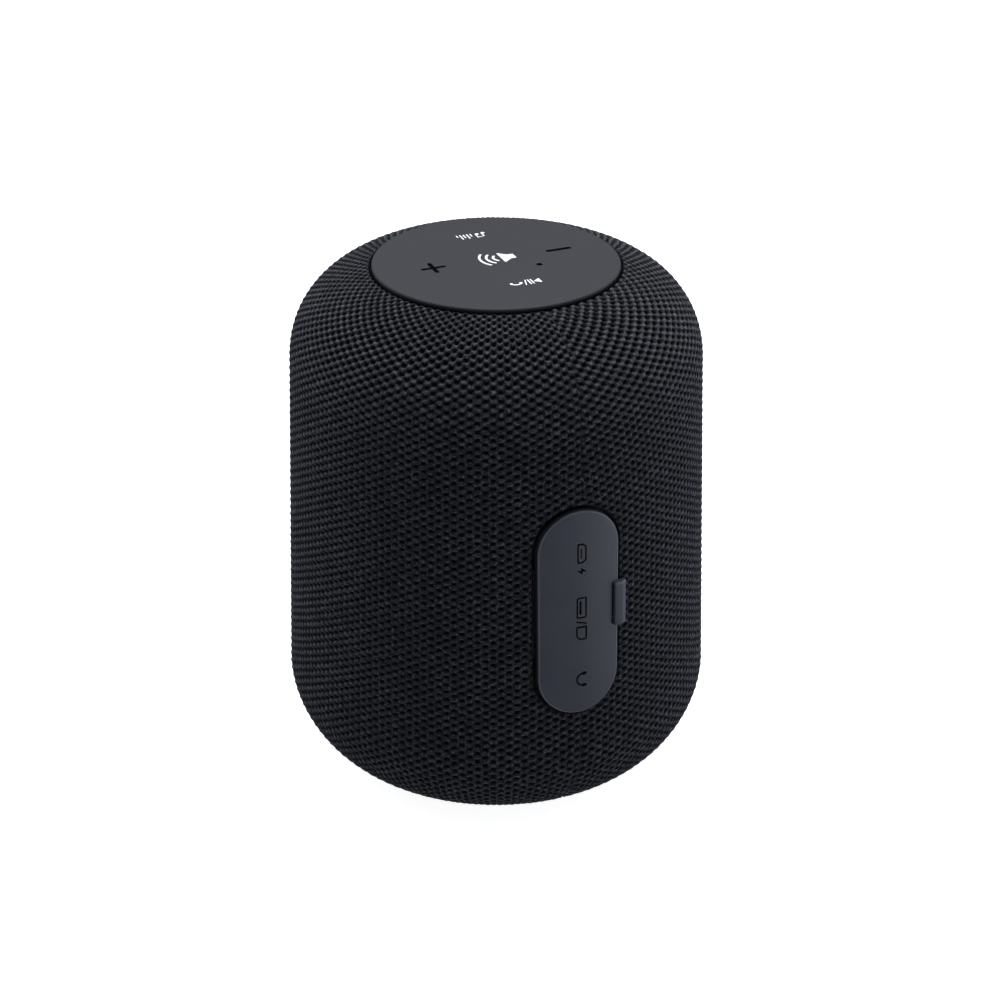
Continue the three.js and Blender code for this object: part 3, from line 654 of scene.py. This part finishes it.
def knit_half(name, points, normals, coordinates, near, material):
    """One side of the sleeve as a mesh, without what the flap's cut takes out."""
    columns, rows = points.shape[:2]
    index = np.arange(columns * rows).reshape(columns, rows)
    faces = np.stack([index[:-1, :-1], index[1:, :-1], index[1:, 1:], index[:-1, 1:]], axis=2)
    faces = faces.reshape(-1, 4)
    faces = faces[near.reshape(-1)[faces].max(axis=1) > CUT_CLEAR]
    used = np.unique(faces)
    fresh = np.full(columns * rows, -1)
    fresh[used] = np.arange(len(used))
    faces = fresh[faces]
    made = piece(name, points.reshape(-1, 3)[used], faces.tolist(), material,
                 normals=normals.reshape(-1, 3)[used])
    layer = made.data.uv_layers.new(name="knit")
    corners = np.empty(len(made.data.loops), int)
    made.data.loops.foreach_get("vertex_index", corners)
    layer.data.foreach_set("uv", coordinates.reshape(-1, 2)[used][corners].reshape(-1))
    return made


def knit_material():
    """Black polyester knit: fine twisted yarn round small holes, with painted shade in the holes.

    The "knit" coordinates count columns and rows, so cosines of them give each stitch
    its knot and its hole in step with the sleeve's own relief.
    """
    made, tree, shader = new_material("sleeve_knit")
    uv = node(tree, "ShaderNodeUVMap", uv_map="knit").outputs[0]
    parts = node(tree, "ShaderNodeSeparateXYZ", {0: uv})
    place = node(tree, "ShaderNodeTexCoord").outputs["Object"]
    off = maths(tree, "MULTIPLY_ADD", noise(tree, uv, 2.3, 2), 0.34, -0.17)
    across = maths(tree, "ADD", parts.outputs[0], off)
    across = maths(tree, "MULTIPLY", maths(tree, "SUBTRACT", across, 0.5), math.pi)
    along = maths(tree, "MULTIPLY", maths(tree, "ADD", parts.outputs[1], off), 2 * math.pi)
    side = maths(tree, "COSINE", across)
    beat = maths(tree, "MULTIPLY", maths(tree, "SIGN", side), maths(tree, "COSINE", along))
    wave = maths(tree, "MULTIPLY", side, maths(tree, "COSINE", along))
    half_beat = maths(tree, "MULTIPLY_ADD", beat, 0.5, 0.5)
    pit = maths(tree, "MULTIPLY", maths(tree, "ABSOLUTE", side), half_beat)
    # hole marks where each hole gets its near-black painted shade and rougher yarn
    hole = remap(tree, pit, 0.19, 0.5, 0, 1)
    knot = remap(tree, wave, -1.0, 0.1, 1, 0)
    fibre = noise(tree, place, 1 / (FIBRE_SIZE * MM), 2, 0.7)
    # flecks: random lighter, glossier fibres; their light tone is partly painted glint
    fleck_glint = remap(tree, fibre, 0.5, 0.62, 0, 1)
    slow = noise(tree, place, 1 / (AGED_SIZE * MM), 2)
    yarn = blended(tree, fleck_glint, YARN_DARK, YARN_FLECK_GLINT)
    # knots painted a little lighter: painted highlight on their raised tops
    yarn = blended(tree, maths(tree, "MULTIPLY", knot, 0.3), yarn, KNOT_HIGHLIGHT)
    # painted highlight on the knots of the shoulder's upper rows, where the top light falls on them
    lit_shoulder = remap(tree, parts.outputs[1], 4, 20, 1, 0)
    glint = remap(tree, fibre, 0.42, 0.60, 0.2, 1)
    bead_highlight = maths(tree, "MULTIPLY", maths(tree, "MULTIPLY", knot, lit_shoulder), glint)
    yarn = blended(tree, bead_highlight, yarn, BEAD_HIGHLIGHT)
    # painted shade in the valleys between knots, deeper between the shoulder's lit knots
    valley_shade = remap(tree, wave, -0.5, 0.2, 0.0, 0.6)
    gap_shade = maths(tree, "MULTIPLY", remap(tree, wave, -0.75, -0.1, 0.0, 0.85), lit_shoulder)
    yarn = blended(tree, maths(tree, "MAXIMUM", valley_shade, gap_shade), yarn, VALLEY_SHADE)
    aged = remap(tree, slow, 0.3, 0.7, 0.0, 0.25)
    yarn = blended(tree, aged, yarn, AGED_TONE)
    gloss = maths(tree, "MULTIPLY_ADD", fleck_glint, -0.24, 0.60)
    strand = node(tree, "ShaderNodeTexWave",
                  {"Vector": uv, "Scale": 2.6, "Distortion": 7.0, "Detail": 2, "Detail Scale": 1.4},
                  bands_direction="DIAGONAL")
    height = maths(tree, "MULTIPLY_ADD", strand.outputs[1], 0.3, maths(tree, "MULTIPLY", wave, -2.2))
    height = maths(tree, "MULTIPLY_ADD", fibre, 2.2, height)
    wire(tree, shader, {
        "Base Color": blended(tree, hole, yarn, HOLE_SHADE),
        "Roughness": maths(tree, "MULTIPLY_ADD", hole, 0.5, gloss, clamp=True),
        "Normal": bumped(tree, height, 0.1), "Specular IOR Level": 0.24,
        "Sheen Weight": 0.03, "Sheen Roughness": 0.4,
    })
    return made


def sleeve():
    """The knitted cover: two halves of one tube that meets in a seam behind."""
    material = knit_material()
    points, normals, coordinates, near, middle = knit_grid()
    halves = (("knit_left", slice(0, middle + 1)), ("knit_right", slice(middle, None)))
    made = [knit_half(name, points[part], normals[part], coordinates[part], near[part], material)
            for name, part in halves]
    # the cut edge round the flap, turned in
    section = [(0.02, -0.3), (-0.14, -0.5), (-0.2, -0.9), (-0.2, -1.9)]
    rings = [[on_body(x, z, height) for x, z in stadium_loop(CUT_MARGIN + grow)]
             for grow, height in section]
    made.append(strip("knit_cut_edge", rings, material))
    # top and bottom edges, turned in behind the trim and under the base
    turned = {"knit_top_edge": [tuple(PROFILE[0]), (25.87, 110.98), (25.82, 110.7), (25.82, 110.3)],
              "knit_bottom_edge": [tuple(PROFILE[-1]), (30.0, 1.5), (29.95, 2.2)]}
    for name, outline in turned.items():
        made.append(lathe(name, outline, material, steps=352, closed=False))
    for thing in made:
        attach(thing, "housing")
        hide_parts("fabric_sleeve")
    return made


# ---------------------------------------------------------------- key panel
PANEL_TOP = 112.0
PANEL_RADIUS = 25.3
PANEL_BEVEL = 0.45
PANEL_SKIRT = 110.4
KEY_RING_RADIUS = 13.7
KEY_RADIUS = 5.3
KEY_DISH = 0.07
MARK_SHIFT = (-0.55, -1.25)
PLAY_SHIFT = (-0.7, 0.3)
MARK_STEP = 0.05
MARK_CLEAR = 0.25
MIC_PLACE = (-7.45, 4.95)
MIC_RADIUS = 0.55
MIC_MOUTH = MIC_RADIUS + 0.12
MIC_FLOOR = PANEL_TOP - 1.4
GROOVE_DEPTH = 0.4
GROOVE_SLOPE = 0.08
PRINT_THICKNESS = 0.03


def stroke(width, *ends):
    """A field for a line of that width through the ends."""
    pairs = list(zip(ends, ends[1:]))
    return lambda p: np.minimum.reduce([near_segment(p, *pair) for pair in pairs]) - width / 2


def curve(width, centre, radius, start, end):
    """A field for an arc line of that width."""
    return lambda p: near_arc(p, centre, radius, start, end) - width / 2


def filled(*corners, swell=0.12):
    """A field for a filled shape with slightly rounded corners."""
    return lambda p: near_polygon(p, corners) - swell


def block(centre, size, corner=0.2):
    """A field for a filled rounded rectangle."""
    return lambda p: near_box(p, centre, size, corner)


def outline(field, width):
    """A field for a line round another field's edge."""
    return lambda p: np.abs(field(p)) - width / 2


def disc(centre, radius):
    """A field for a filled circle."""
    return lambda p: near_point(p, centre) - radius


def union(*fields):
    """One field for several shapes."""
    return lambda p: np.minimum.reduce([f(p) for f in fields])


def shifted(field, x, y):
    """A field moved by (x, y)."""
    return lambda p: field(p - np.array((x, y), float))


MARK_PLUS = union(stroke(0.9, (-2.25, 0), (2.25, 0)), stroke(0.9, (0, -2.25), (0, 2.25)))
MARK_MINUS = stroke(1.05, (-2.3, 0), (2.3, 0))
MARK_PLAY = union(
    filled((-3.05, -0.95), (-1.75, 0), (-3.05, 0.95), swell=0.08),
    stroke(0.3, (-1.35, -1.05), (-1.35, 1.05)),
    stroke(0.3, (-0.75, -1.05), (-0.75, 1.05)),
    stroke(0.24, (-0.25, -1.15), (0.35, 1.15)),
    curve(0.42, (2.0, -0.75), 1.25, 30, 150),
    block((0.98, -0.18), (0.62, 0.75), 0.2),
    block((3.02, -0.18), (0.62, 0.75), 0.2),
)
MARK_MODE = union(
    disc((-2.75, -0.8), 0.42), disc((-1.35, -0.6), 0.42),
    stroke(0.26, (-2.45, -0.75), (-2.45, 0.85), (-1.05, 1.1), (-1.05, -0.6)),
    *[stroke(0.3, (x, -1.05), (x, top))
      for x, top in ((0.0, 0.1), (0.75, 1.05), (1.5, 0.5), (2.25, 1.05), (3.0, -0.2))],
)
MARK_SOUND = union(
    filled((-3.9, -0.95), (-2.8, -0.95), (-1.1, -2.4), (-1.1, 2.4), (-2.8, 0.95), (-3.9, 0.95)),
    curve(0.5, (-1.2, 0), 1.8, -45, 45), curve(0.5, (-1.2, 0), 3.2, -45, 45),
    curve(0.5, (-1.2, 0), 4.6, -40, 40),
)


def grooved(field, box, sunk=True):
    """Closed loops for a mark's edge, and for its floor where it is sunk."""
    levels = (0.0, -GROOVE_SLOPE) if sunk else (0.0,)
    return [thinned(loop) for level in levels for loop in contours(field, box, level, MARK_STEP)]


def tone_marks(thing, faces, flat, field, material):
    """Faces inside a mark take its own material."""
    middles = np.array([flat[list(face)].mean(axis=0) for face in faces])
    thing.data.materials.append(material)
    thing.data.polygons.foreach_set("material_index", (field(middles) < 0).astype(int))


def groove_height(field, p):
    """How far the surface is sunk at points p."""
    return -GROOVE_DEPTH * np.clip(-field(p) / GROOVE_SLOPE, 0, 1)


def key_skin(name, centre, body, material, mark, tone, sunk):
    """The rubber over one key with its mark."""
    mark = shifted(mark, *MARK_SHIFT)
    loops = [circle((0, 0), KEY_RADIUS, 96)] + grooved(mark, (-4.8, -4.8, 4.8, 4.8), sunk)

    def spare(p):
        return (KEY_RADIUS - near_point(p) > MARK_CLEAR) & (np.abs(mark(p)) > MARK_CLEAR)

    flat, faces = carved(loops, scatter((-5, -5, 5, 5), 0.55, spare),
                         lambda p: near_point(p) < KEY_RADIUS)
    away = np.clip(near_point(flat) / KEY_RADIUS, 0, 1)
    z = PANEL_TOP - KEY_DISH * np.cos(away * math.pi / 2) ** 2
    if sunk:
        z = z + groove_height(mark, flat)
    points = [(x + centre[0], y + centre[1], h) for (x, y), h in zip(flat, z)]
    skin = facing_up(piece(name, points, faces, material))
    # the mark's faces take tone: printed ink on the printed keys, painted shade in the sunk keys' grooves
    tone_marks(skin, faces, flat, mark, tone)
    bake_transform(skin)
    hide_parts(body)


def printed(name, field, material):
    """A thin printed mark lying on the middle of the panel."""
    field = shifted(field, *MARK_SHIFT)
    loops = grooved(field, (-5.2, -5.2, 5.2, 5.2), sunk=False)
    flat, faces = carved(loops, [], lambda p: field(p) < 0)
    points = [(x, y, PANEL_TOP) for x, y in flat]
    mark = facing_up(piece(name, points, faces, material, smooth=False))
    thicken = mark.modifiers.new("thickness", "SOLIDIFY")
    thicken.thickness = PRINT_THICKNESS * MM
    thicken.offset = 1
    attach(mark, "housing")


def panel(rubber, ink, sunk):
    """The rubber top: panel, four key skins, printed marks and the microphone hole."""
    keys = {
        "key_plus": ((KEY_RING_RADIUS, 0), MARK_PLUS, sunk, True),
        "key_play": ((0, KEY_RING_RADIUS), shifted(MARK_PLAY, *PLAY_SHIFT), ink, False),
        "key_minus": ((-KEY_RING_RADIUS, 0), MARK_MINUS, sunk, True),
        "key_mode": ((0, -KEY_RING_RADIUS), MARK_MODE, ink, False),
    }
    centres = [key[0] for key in keys.values()]
    bevel = arc((PANEL_RADIUS - PANEL_BEVEL, PANEL_TOP - PANEL_BEVEL), PANEL_BEVEL, 90, 0, 8)
    steps = 192
    inner = bevel[0][0]
    loops = [circle((0, 0), inner, steps), *[circle(centre, KEY_RADIUS, 96) for centre in centres],
             circle(MIC_PLACE, MIC_MOUTH, 24)]

    def inside(p):
        keep = near_point(p) < inner
        for centre in centres:
            keep &= near_point(p, centre) > KEY_RADIUS
        return keep & (near_point(p, MIC_PLACE) > MIC_MOUTH)

    flat, faces = carved(loops, scatter((-25, -25, 25, 25), 2.2, lambda p: inside(p * 1.01)), inside)
    top = facing_up(piece("panel_face", [(x, y, PANEL_TOP) for x, y in flat], faces, rubber))
    skirt = [(PANEL_RADIUS, PANEL_SKIRT), (inner - 3, PANEL_SKIRT)]
    rim = lathe("panel_rim", bevel + skirt, rubber, steps, closed=False)
    well = [(MIC_MOUTH, PANEL_TOP), (MIC_RADIUS + 0.03, PANEL_TOP - 0.04),
            (MIC_RADIUS, PANEL_TOP - 0.12), (MIC_RADIUS, MIC_FLOOR), (0.001, MIC_FLOOR)]
    # the microphone hole is lined with the grooves' painted shade
    hole = lathe("microphone_hole", well, sunk, 24, closed=False)
    for vertex in hole.data.vertices:
        vertex.co.x += MIC_PLACE[0] * MM
        vertex.co.y += MIC_PLACE[1] * MM
    whole = joined([top, rim, hole], "key_panel_skin")
    sharpen(whole, 50)
    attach(whole, "housing")
    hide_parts("key_panel")
    for body, (centre, mark, tone, is_sunk) in keys.items():
        key_skin(body + "_skin", centre, body, rubber, mark, tone, is_sunk)
    printed("mark_sound", MARK_SOUND, ink)


# ---------------------------------------------------------------- port flap
FLAP_BEVEL = 0.32
POWER_Z, SLOTS_Z, AUDIO_Z = 65.4, 52.3, 38.3
SIGN_X = -0.35
TAB_ROOT_X = -7.42
TAB_LIT_X = -9.6
TAB_HALF_LENGTH = 4.8
POWER_BOSS_X = -1.15
JACK_X = 0.1
SOCKET_MOUTH_Y = 39.0
WEB_NEAR, WEB_FAR = 7.3, 8.3
WEB_FOOT, WEB_BEND_START, WEB_BEND_END = 40.6, 40.9, 42.6


def flap_marks():
    """The flap's sunk signs as they read, each with the height z of its middle."""
    bolt = filled((0.25, 1.05), (-0.75, -0.15), (-0.05, -0.15), (-0.25, -1.05), (0.75, 0.15),
                  (0.05, 0.15), swell=0.04)
    socket = filled((-1.9, 0.7), (1.9, 0.7), (1.9, -0.1), (1.4, -0.75), (-1.4, -0.75), (-1.9, -0.1))
    power = union(shifted(bolt, -2.6, 0), shifted(outline(socket, 0.36), 1.3, 0),
                  shifted(stroke(0.3, (-0.9, 0.1), (0.9, 0.1)), 1.3, 0))
    card = filled((-1.25, -0.9), (1.25, -0.9), (1.25, 0.9), (-0.6, 0.9), (-1.25, 0.3))
    plug = block((0, 0), (4.4, 1.9), 0.25)
    slots = union(shifted(outline(card, 0.36), -3.4, 0), stroke(0.36, (-1.35, -1.0), (-0.75, 1.0)),
                  shifted(outline(plug, 0.36), 2.3, 0), shifted(block((0, 0.25), (3.0, 0.5), 0.1), 2.3, 0))
    sound = union(curve(0.4, (0, -0.35), 1.35, 0, 180), block((-1.35, -0.6), (0.7, 1.1), 0.25),
                  block((1.35, -0.6), (0.7, 1.1), 0.25))
    return ((POWER_Z, power), (SLOTS_Z, slots), (AUDIO_Z, sound))


def upright(field, z):
    """The field moved to height z and turned to read upwards, its top towards +x."""
    return lambda p: field(np.stack([p[:, 1] - z, p[:, 0] - SIGN_X], axis=1))


def flap(rubber, sign_shade_tone, highlight_tone, wall_shade_tone):
    """The port flap: a curved plate with sunk signs in painted shade, a painted highlight along its edge
    and a pull tab.
    """
    marks = [(z, upright(field, z), (-2.0, 1.6)) for z, field in flap_marks()]
    root = stroke(0.34, (TAB_ROOT_X, TAB_MIDDLE - 4.5), (TAB_ROOT_X, TAB_MIDDLE + 4.5))
    marks.append((TAB_MIDDLE, root, (-7.8, -6.8)))
    every = union(*[field for _, field, _ in marks])
    loops = [stadium_loop(-FLAP_BEVEL)]
    for z, field, (left, right) in marks:
        loops += grooved(field, (left, z - 5.6, right, z + 5.6))

    def spare(p):
        return inside_flap(p, FLAP_BEVEL + 0.4) & (np.abs(every(p)) > 0.3)

    field_box = (-9, FLAP_Z - 23, 9, FLAP_Z + 23)
    flat, faces = carved(loops, scatter(field_box, 0.9, spare),
                         lambda p: inside_flap(p, FLAP_BEVEL))
    sunk = groove_height(every, flat)
    points = [on_body(x, z, FLAP_PROUD + h) for (x, z), h in zip(flat, sunk)]
    plate = piece("flap_face", points, faces, rubber)
    # the sunk signs and the tab root's groove take a painted shade
    tone_marks(plate, faces, flat, every, sign_shade_tone)
    facing(plate, lambda middle: Vector((middle.x, middle.y, 0)))
    section = [(-FLAP_BEVEL * (1 - math.sin(t)), FLAP_PROUD - FLAP_BEVEL * (1 - math.cos(t)))
               for t in np.linspace(0, math.pi / 2, 7)]
    section += [(0, FLAP_BACK + 0.3), (-0.1, FLAP_BACK + 0.08), (-0.3, FLAP_BACK)]
    rings = [[on_body(x, z, height) for x, z in stadium_loop(grow)] for grow, height in section]
    side = strip("flap_side", rings, rubber)
    side.data.materials.append(highlight_tone)
    side.data.materials.append(wall_shade_tone)
    # the bevel's outer rows take a painted highlight, and the wall under it a painted shade
    tones = [1] * 3 + [0] * 2 + [2] * 3 + [0]
    side.data.polygons.foreach_set("material_index", [tone for tone in tones for _ in rings[0]])
    inset = -section[-1][0]
    flat, faces = carved([stadium_loop(-inset)], scatter(field_box, 1.6, lambda p: inside_flap(p, 1.2)),
                         lambda p: inside_flap(p, inset))
    back = piece("flap_back", [on_body(x, z, FLAP_BACK) for x, z in flat], faces, rubber)
    whole = joined([plate, side, back], "port_flap_cover")
    sharpen(solid(whole), 40)
    parts = [whole, pull_tab(rubber, highlight_tone), flap_rim(rubber)]
    parts += [flap_boss("flap_boss_power", POWER_BOSS_X, POWER_Z, (1.1, 2.7), rubber),
              flap_boss("flap_boss_audio", 0, AUDIO_Z, (1.5, 1.5), rubber)]
    for thing in parts:
        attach(thing, "port_flap")
    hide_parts("port_flap")
    hinge_web(rubber)


def flap_rim(rubber):
    """The sealing rim on the flap's inner face, clear of the hinge web."""
    section = [(-3.0, FLAP_BACK + 0.1), (-3.0, -2.0), (-3.1, -2.2), (-3.5, -2.2), (-3.6, -2.0),
               (-3.6, FLAP_BACK + 0.1)]
    rings = [[on_body(x, z, height) for x, z in stadium_loop(grow)] for grow, height in section]
    return sharpen(solid(strip("flap_rim", rings, rubber)), 50)


def flap_boss(name, x, z, reach, rubber):
    """A rounded boss on the flap's inner face that stops short of the socket behind it."""
    wide, tall = reach
    rings = []
    for grow, height in ((0.25, FLAP_BACK + 0.1), (0.05, -1.5), (0, -1.8), (0, -2.5), (-0.12, -2.75),
                         (-0.4, -2.85), (-1.0, -2.85)):
        w, t = wide + grow, tall + grow
        ring = rounded([(-w, -t), (w, -t), (w, t), (-w, t)], w, 8)
        rings.append([on_body(x + px, z + pz, height) for px, pz in ring])
    count = len(rings[0])
    last = range((len(rings) - 1) * count, len(rings) * count)
    return smoothed(solid(strip(name, rings, rubber), last), 50)


def jack_ring(metal):
    """The plated ring round the audio jack's mouth."""
    section = [(1.8, 0), (1.8, 0.2), (1.9, 0.3), (2.2, 0.3), (2.35, 0.15), (2.35, 0)]
    rings = [[(x, SOCKET_MOUTH_Y + out, z) for x, z in circle((JACK_X, AUDIO_Z), r, 48)]
             for r, out in section]
    ring = sharpen(solid(strip("audio_jack_ring", rings, metal)), 50)
    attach(ring, "housing")


def hinge_web(rubber):
    """The thin bending strip of rubber between the anchor in the bay and the flap."""
    low, high, steps = 44.0, 62.0, 8
    rings = []
    for z in np.linspace(low, high, 13):
        top = radius_at(z) + FLAP_BACK
        near, far = [math.sqrt(top**2 - x**2) + 0.1 for x in (WEB_NEAR, WEB_FAR)]
        ring = [(WEB_NEAR, y, z) for y in np.linspace(WEB_FOOT, near, steps)]
        rings.append(ring + [(WEB_FAR, y, z) for y in np.linspace(far, WEB_FOOT, steps)])
    count = 2 * steps
    caps = [[first + i for i in (k, k + 1, count - 2 - k, count - 1 - k)]
            for first in (0, (len(rings) - 1) * count) for k in range(steps - 1)]
    web = solid(strip("flap_hinge_web", rings, rubber), *caps)
    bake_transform(web)


def pull_tab(rubber, highlight_tone):
    """The finger tab at the flap's free edge."""
    shape = [(-7.55, 0.5), (-7.55, 1.62), (-9.35, 1.8), (-10.4, 1.15), (-10.4, 0.3), (-8.0, 0.3)]
    shape = rounded(shape, [0, 0.22, 0.35, 0.25, 0.15, 0], 4)
    middle = (-9.0, 1.0)
    low, high, bevel = TAB_MIDDLE - TAB_HALF_LENGTH, TAB_MIDDLE + TAB_HALF_LENGTH, 0.35
    turns = np.linspace(0, math.pi / 2, 5)
    rings = [(low + bevel * (1 - math.cos(t)), bevel * (1 - math.sin(t))) for t in turns]
    rings += [(z, 0) for z in np.linspace(low + bevel, high - bevel, 6)[1:-1]]
    rings += [(high - bevel * (1 - math.cos(t)), bevel * (1 - math.sin(t))) for t in turns[::-1]]

    def drawn_in(x, z, h, shrink):
        dx, dh = middle[0] - x, middle[1] - h
        far = math.hypot(dx, dh)
        return on_body(x + dx / far * shrink, z, h + dh / far * shrink)

    loops = [[drawn_in(x, z, h, shrink) for x, h in shape] for z, shrink in rings]
    count = len(shape)
    last = range((len(rings) - 1) * count, len(rings) * count)
    tab = solid(strip("port_flap_tab", loops, rubber), range(count), last)
    tab.data.materials.append(highlight_tone)
    # the tab's outer strip and top edge take a painted highlight
    for face in tab.data.polygons:
        x, _, z = face.center / MM
        face.material_index = int(x < TAB_LIT_X or z > high - bevel)
    return smoothed(tab, 40)


# ---------------------------------------------------------------- trim ring, foot and base
def trim_ring(plastic):
    """The slim ring between the panel and the sleeve."""
    shape = rounded([(25.46, PANEL_SKIRT), (25.76, PANEL_SKIRT), (25.76, 111.4), (25.46, 111.4)],
                    [0.05, 0.05, 0.14, 0.14], 6)
    ring = lathe("trim_ring", shape, plastic)
    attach(ring, "housing")
    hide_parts("top_trim_ring")


def foot(rubber):
    """The rubber foot ring with two shallow channels in its sole."""
    sole = [(21.7, 1.6), (21.7, 0), (23.2, 0), (23.4, 0.35), (23.8, 0.35), (24.0, 0), (25.8, 0),
            (26.0, 0.35), (26.4, 0.35), (26.6, 0), (28.1, 0), (28.1, 1.6)]
    shape = rounded(sole, [0, 0.4] + [0.1] * 8 + [0.4, 0], 4)
    ring = lathe("foot_ring_rubber", shape, rubber)
    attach(ring, "housing")
    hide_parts("foot_ring")


# ---------------------------------------------------------------- materials of the hard pieces
METAL = {"metallic": 1.0}
SOFT_TONE = {"specular": 0.5, "patch": 6}


def finishes():
    """A material for each of the record's slots but the knit, and for the rubber's other tones, among them
    its painted shades and highlights.
    """
    looks = {
        "panel_rubber": ((0.0175, 0.0178, 0.0215), 0.62, 0.25, 0.006, 0.03,
                         {"specular": 0.35, "patch": 14}),
        "flap_rubber": ((0.0175, 0.0200, 0.0290), 0.40, 0.25, 0.006, 0.06,
                        {**SOFT_TONE, "rough_spread": 0.12}),
        "foot_rubber": ((0.016, 0.016, 0.018), 0.75, 0.3, 0.02, 0.12, {}),
        # the trim's near-black tone is partly painted shade: black plastic darkened for the gap it sits in
        "trim_plastic": ((0.0014, 0.0016, 0.0024), 0.8, 0.2, 0.003, 0.08, {"specular": 0.02}),
        "case_plastic": ((0.018, 0.018, 0.020), 0.55, 0.35, 0.02, 0.15, {}),
        "circuit_board": ((0.010, 0.075, 0.030), 0.38, 0.6, 0.01, 0.2, {}),
        "nickel_shell": ((0.62, 0.60, 0.57), 0.28, 0.3, 0.004, 0.06, METAL),
        "zinc_steel": ((0.50, 0.50, 0.52), 0.36, 0.5, 0.006, 0.12, METAL),
        "ferrite": ((0.035, 0.034, 0.034), 0.6, 0.5, 0.03, 0.2, {}),
        "cone_paper": ((0.022, 0.021, 0.020), 0.85, 0.5, 0.05, 0.2, {}),
        "coil_copper": ((0.72, 0.33, 0.16), 0.35, 0.15, 0.02, 0.1, METAL),
        "spider_cloth": ((0.42, 0.30, 0.12), 0.9, 0.35, 0.06, 0.15, {}),
        "foam": ((0.025, 0.025, 0.026), 0.95, 0.3, 0.09, 0.2, {}),
        "cell_wrap": ((0.03, 0.13, 0.34), 0.3, 0.8, 0.008, 0.08, {}),
        "lead_pvc": ((0.33, 0.02, 0.02), 0.45, 0.3, 0.01, 0.1, {}),
        "ribbon_film": ((0.55, 0.27, 0.06), 0.35, 0.4, 0.006, 0.08, {}),
        "switch_plastic": ((0.025, 0.025, 0.027), 0.45, 0.3, 0.01, 0.1, {}),
        "white_print": ((0.86, 0.86, 0.86), 0.5, 0.3, 0.004, 0.02, {}),
        # painted shade for the key grooves and the microphone hole
        "sunk_marks_shade": ((0.002, 0.0022, 0.003), 0.9, 0.25, 0.006, 0.05, {"specular": 0.02}),
        # painted shade for the flap's sunk signs
        "flap_marks": ((0.0055, 0.006, 0.0085), 0.8, 0.25, 0.006, 0.05, {"specular": 0.1}),
        # painted highlight for the flap's bevel and the tab's outer strip
        "flap_edge_highlight": ((0.040, 0.045, 0.062), 0.38, 0.25, 0.006, 0.06, SOFT_TONE),
        # painted shade on the flap's side wall
        "flap_side_wall_shade": ((0.007, 0.008, 0.012), 0.6, 0.25, 0.006, 0.06, {"specular": 0.3, "patch": 6}),
    }
    return {name: moulded(name, *look, **more) for name, (*look, more) in looks.items()}


def dress_frame(materials):
    """Gives each CAD node the material of its slot."""
    slots = {row["node"]: row["material_slot"] for row in frame["record"]["subparts"]}
    for name, thing in frame["nodes"].items():
        thing.data.materials.clear()
        thing.data.materials.append(materials.get(slots.get(name), materials["case_plastic"]))


def studio():
    """Pale floor and soft lights."""
    scene = bpy.context.scene
    scene.view_settings.view_transform = "Standard"
    scene.view_settings.look = "None"
    floor_material, tree, shader = new_material("studio_floor")
    place = node(tree, "ShaderNodeTexCoord").outputs["Object"]
    tone = blended(tree, noise(tree, place, 0.8, 2), (0.86, 0.86, 0.86), (0.90, 0.90, 0.90))
    wire(tree, shader, {"Base Color": tone, "Roughness": 0.9, "Specular IOR Level": 0.1,
                        "Emission Color": (1, 1, 1, 1), "Emission Strength": FLOOR_GLOW})
    corners = [(x * FLOOR_HALF, y * FLOOR_HALF, 0) for x, y in ((-1, -1), (1, -1), (1, 1), (-1, 1))]
    floor = piece("studio_floor", corners, [(0, 1, 2, 3)], floor_material, smooth=False)
    floor.visible_glossy = False
    world = bpy.data.worlds.new("studio")
    scene.world = world
    world.use_nodes = True
    wire(world.node_tree, world.node_tree.nodes["Background"], {0: WORLD_COLOUR, 1: WORLD_STRENGTH})
    centre = (0, 0, 60 * MM)
    softbox("top_light", towards(180, 0.35, 1.5), centre, (1.6, 1.6), 38.5, NEAR_WHITE)
    softbox("left_light", towards(-119, 1.1, 0.45), centre, (0.7, 1.2), 5.0, COOL)
    softbox("right_light", towards(122, 1.1, 0.40), centre, (0.7, 1.2), 5.6, COOL)
    softbox("side_light", towards(66, 0.9, 0.28), centre, (0.35, 0.7), 0.4, PALE_COOL)
    softbox("floor_card", towards(66, 0.2, 0.012), (0, 40 * MM, 50 * MM), (0.16, 0.12), 0.085,
            PALE_COOL)


camera()
studio()
MATERIALS = finishes()
SLEEVE = sleeve()
panel(MATERIALS["panel_rubber"], MATERIALS["white_print"], MATERIALS["sunk_marks_shade"])
trim_ring(MATERIALS["trim_plastic"])
flap(*[MATERIALS[name] for name in ("flap_rubber", "flap_marks", "flap_edge_highlight", "flap_side_wall_shade")])
jack_ring(MATERIALS["nickel_shell"])
foot(MATERIALS["foot_rubber"])
dress_frame(MATERIALS)
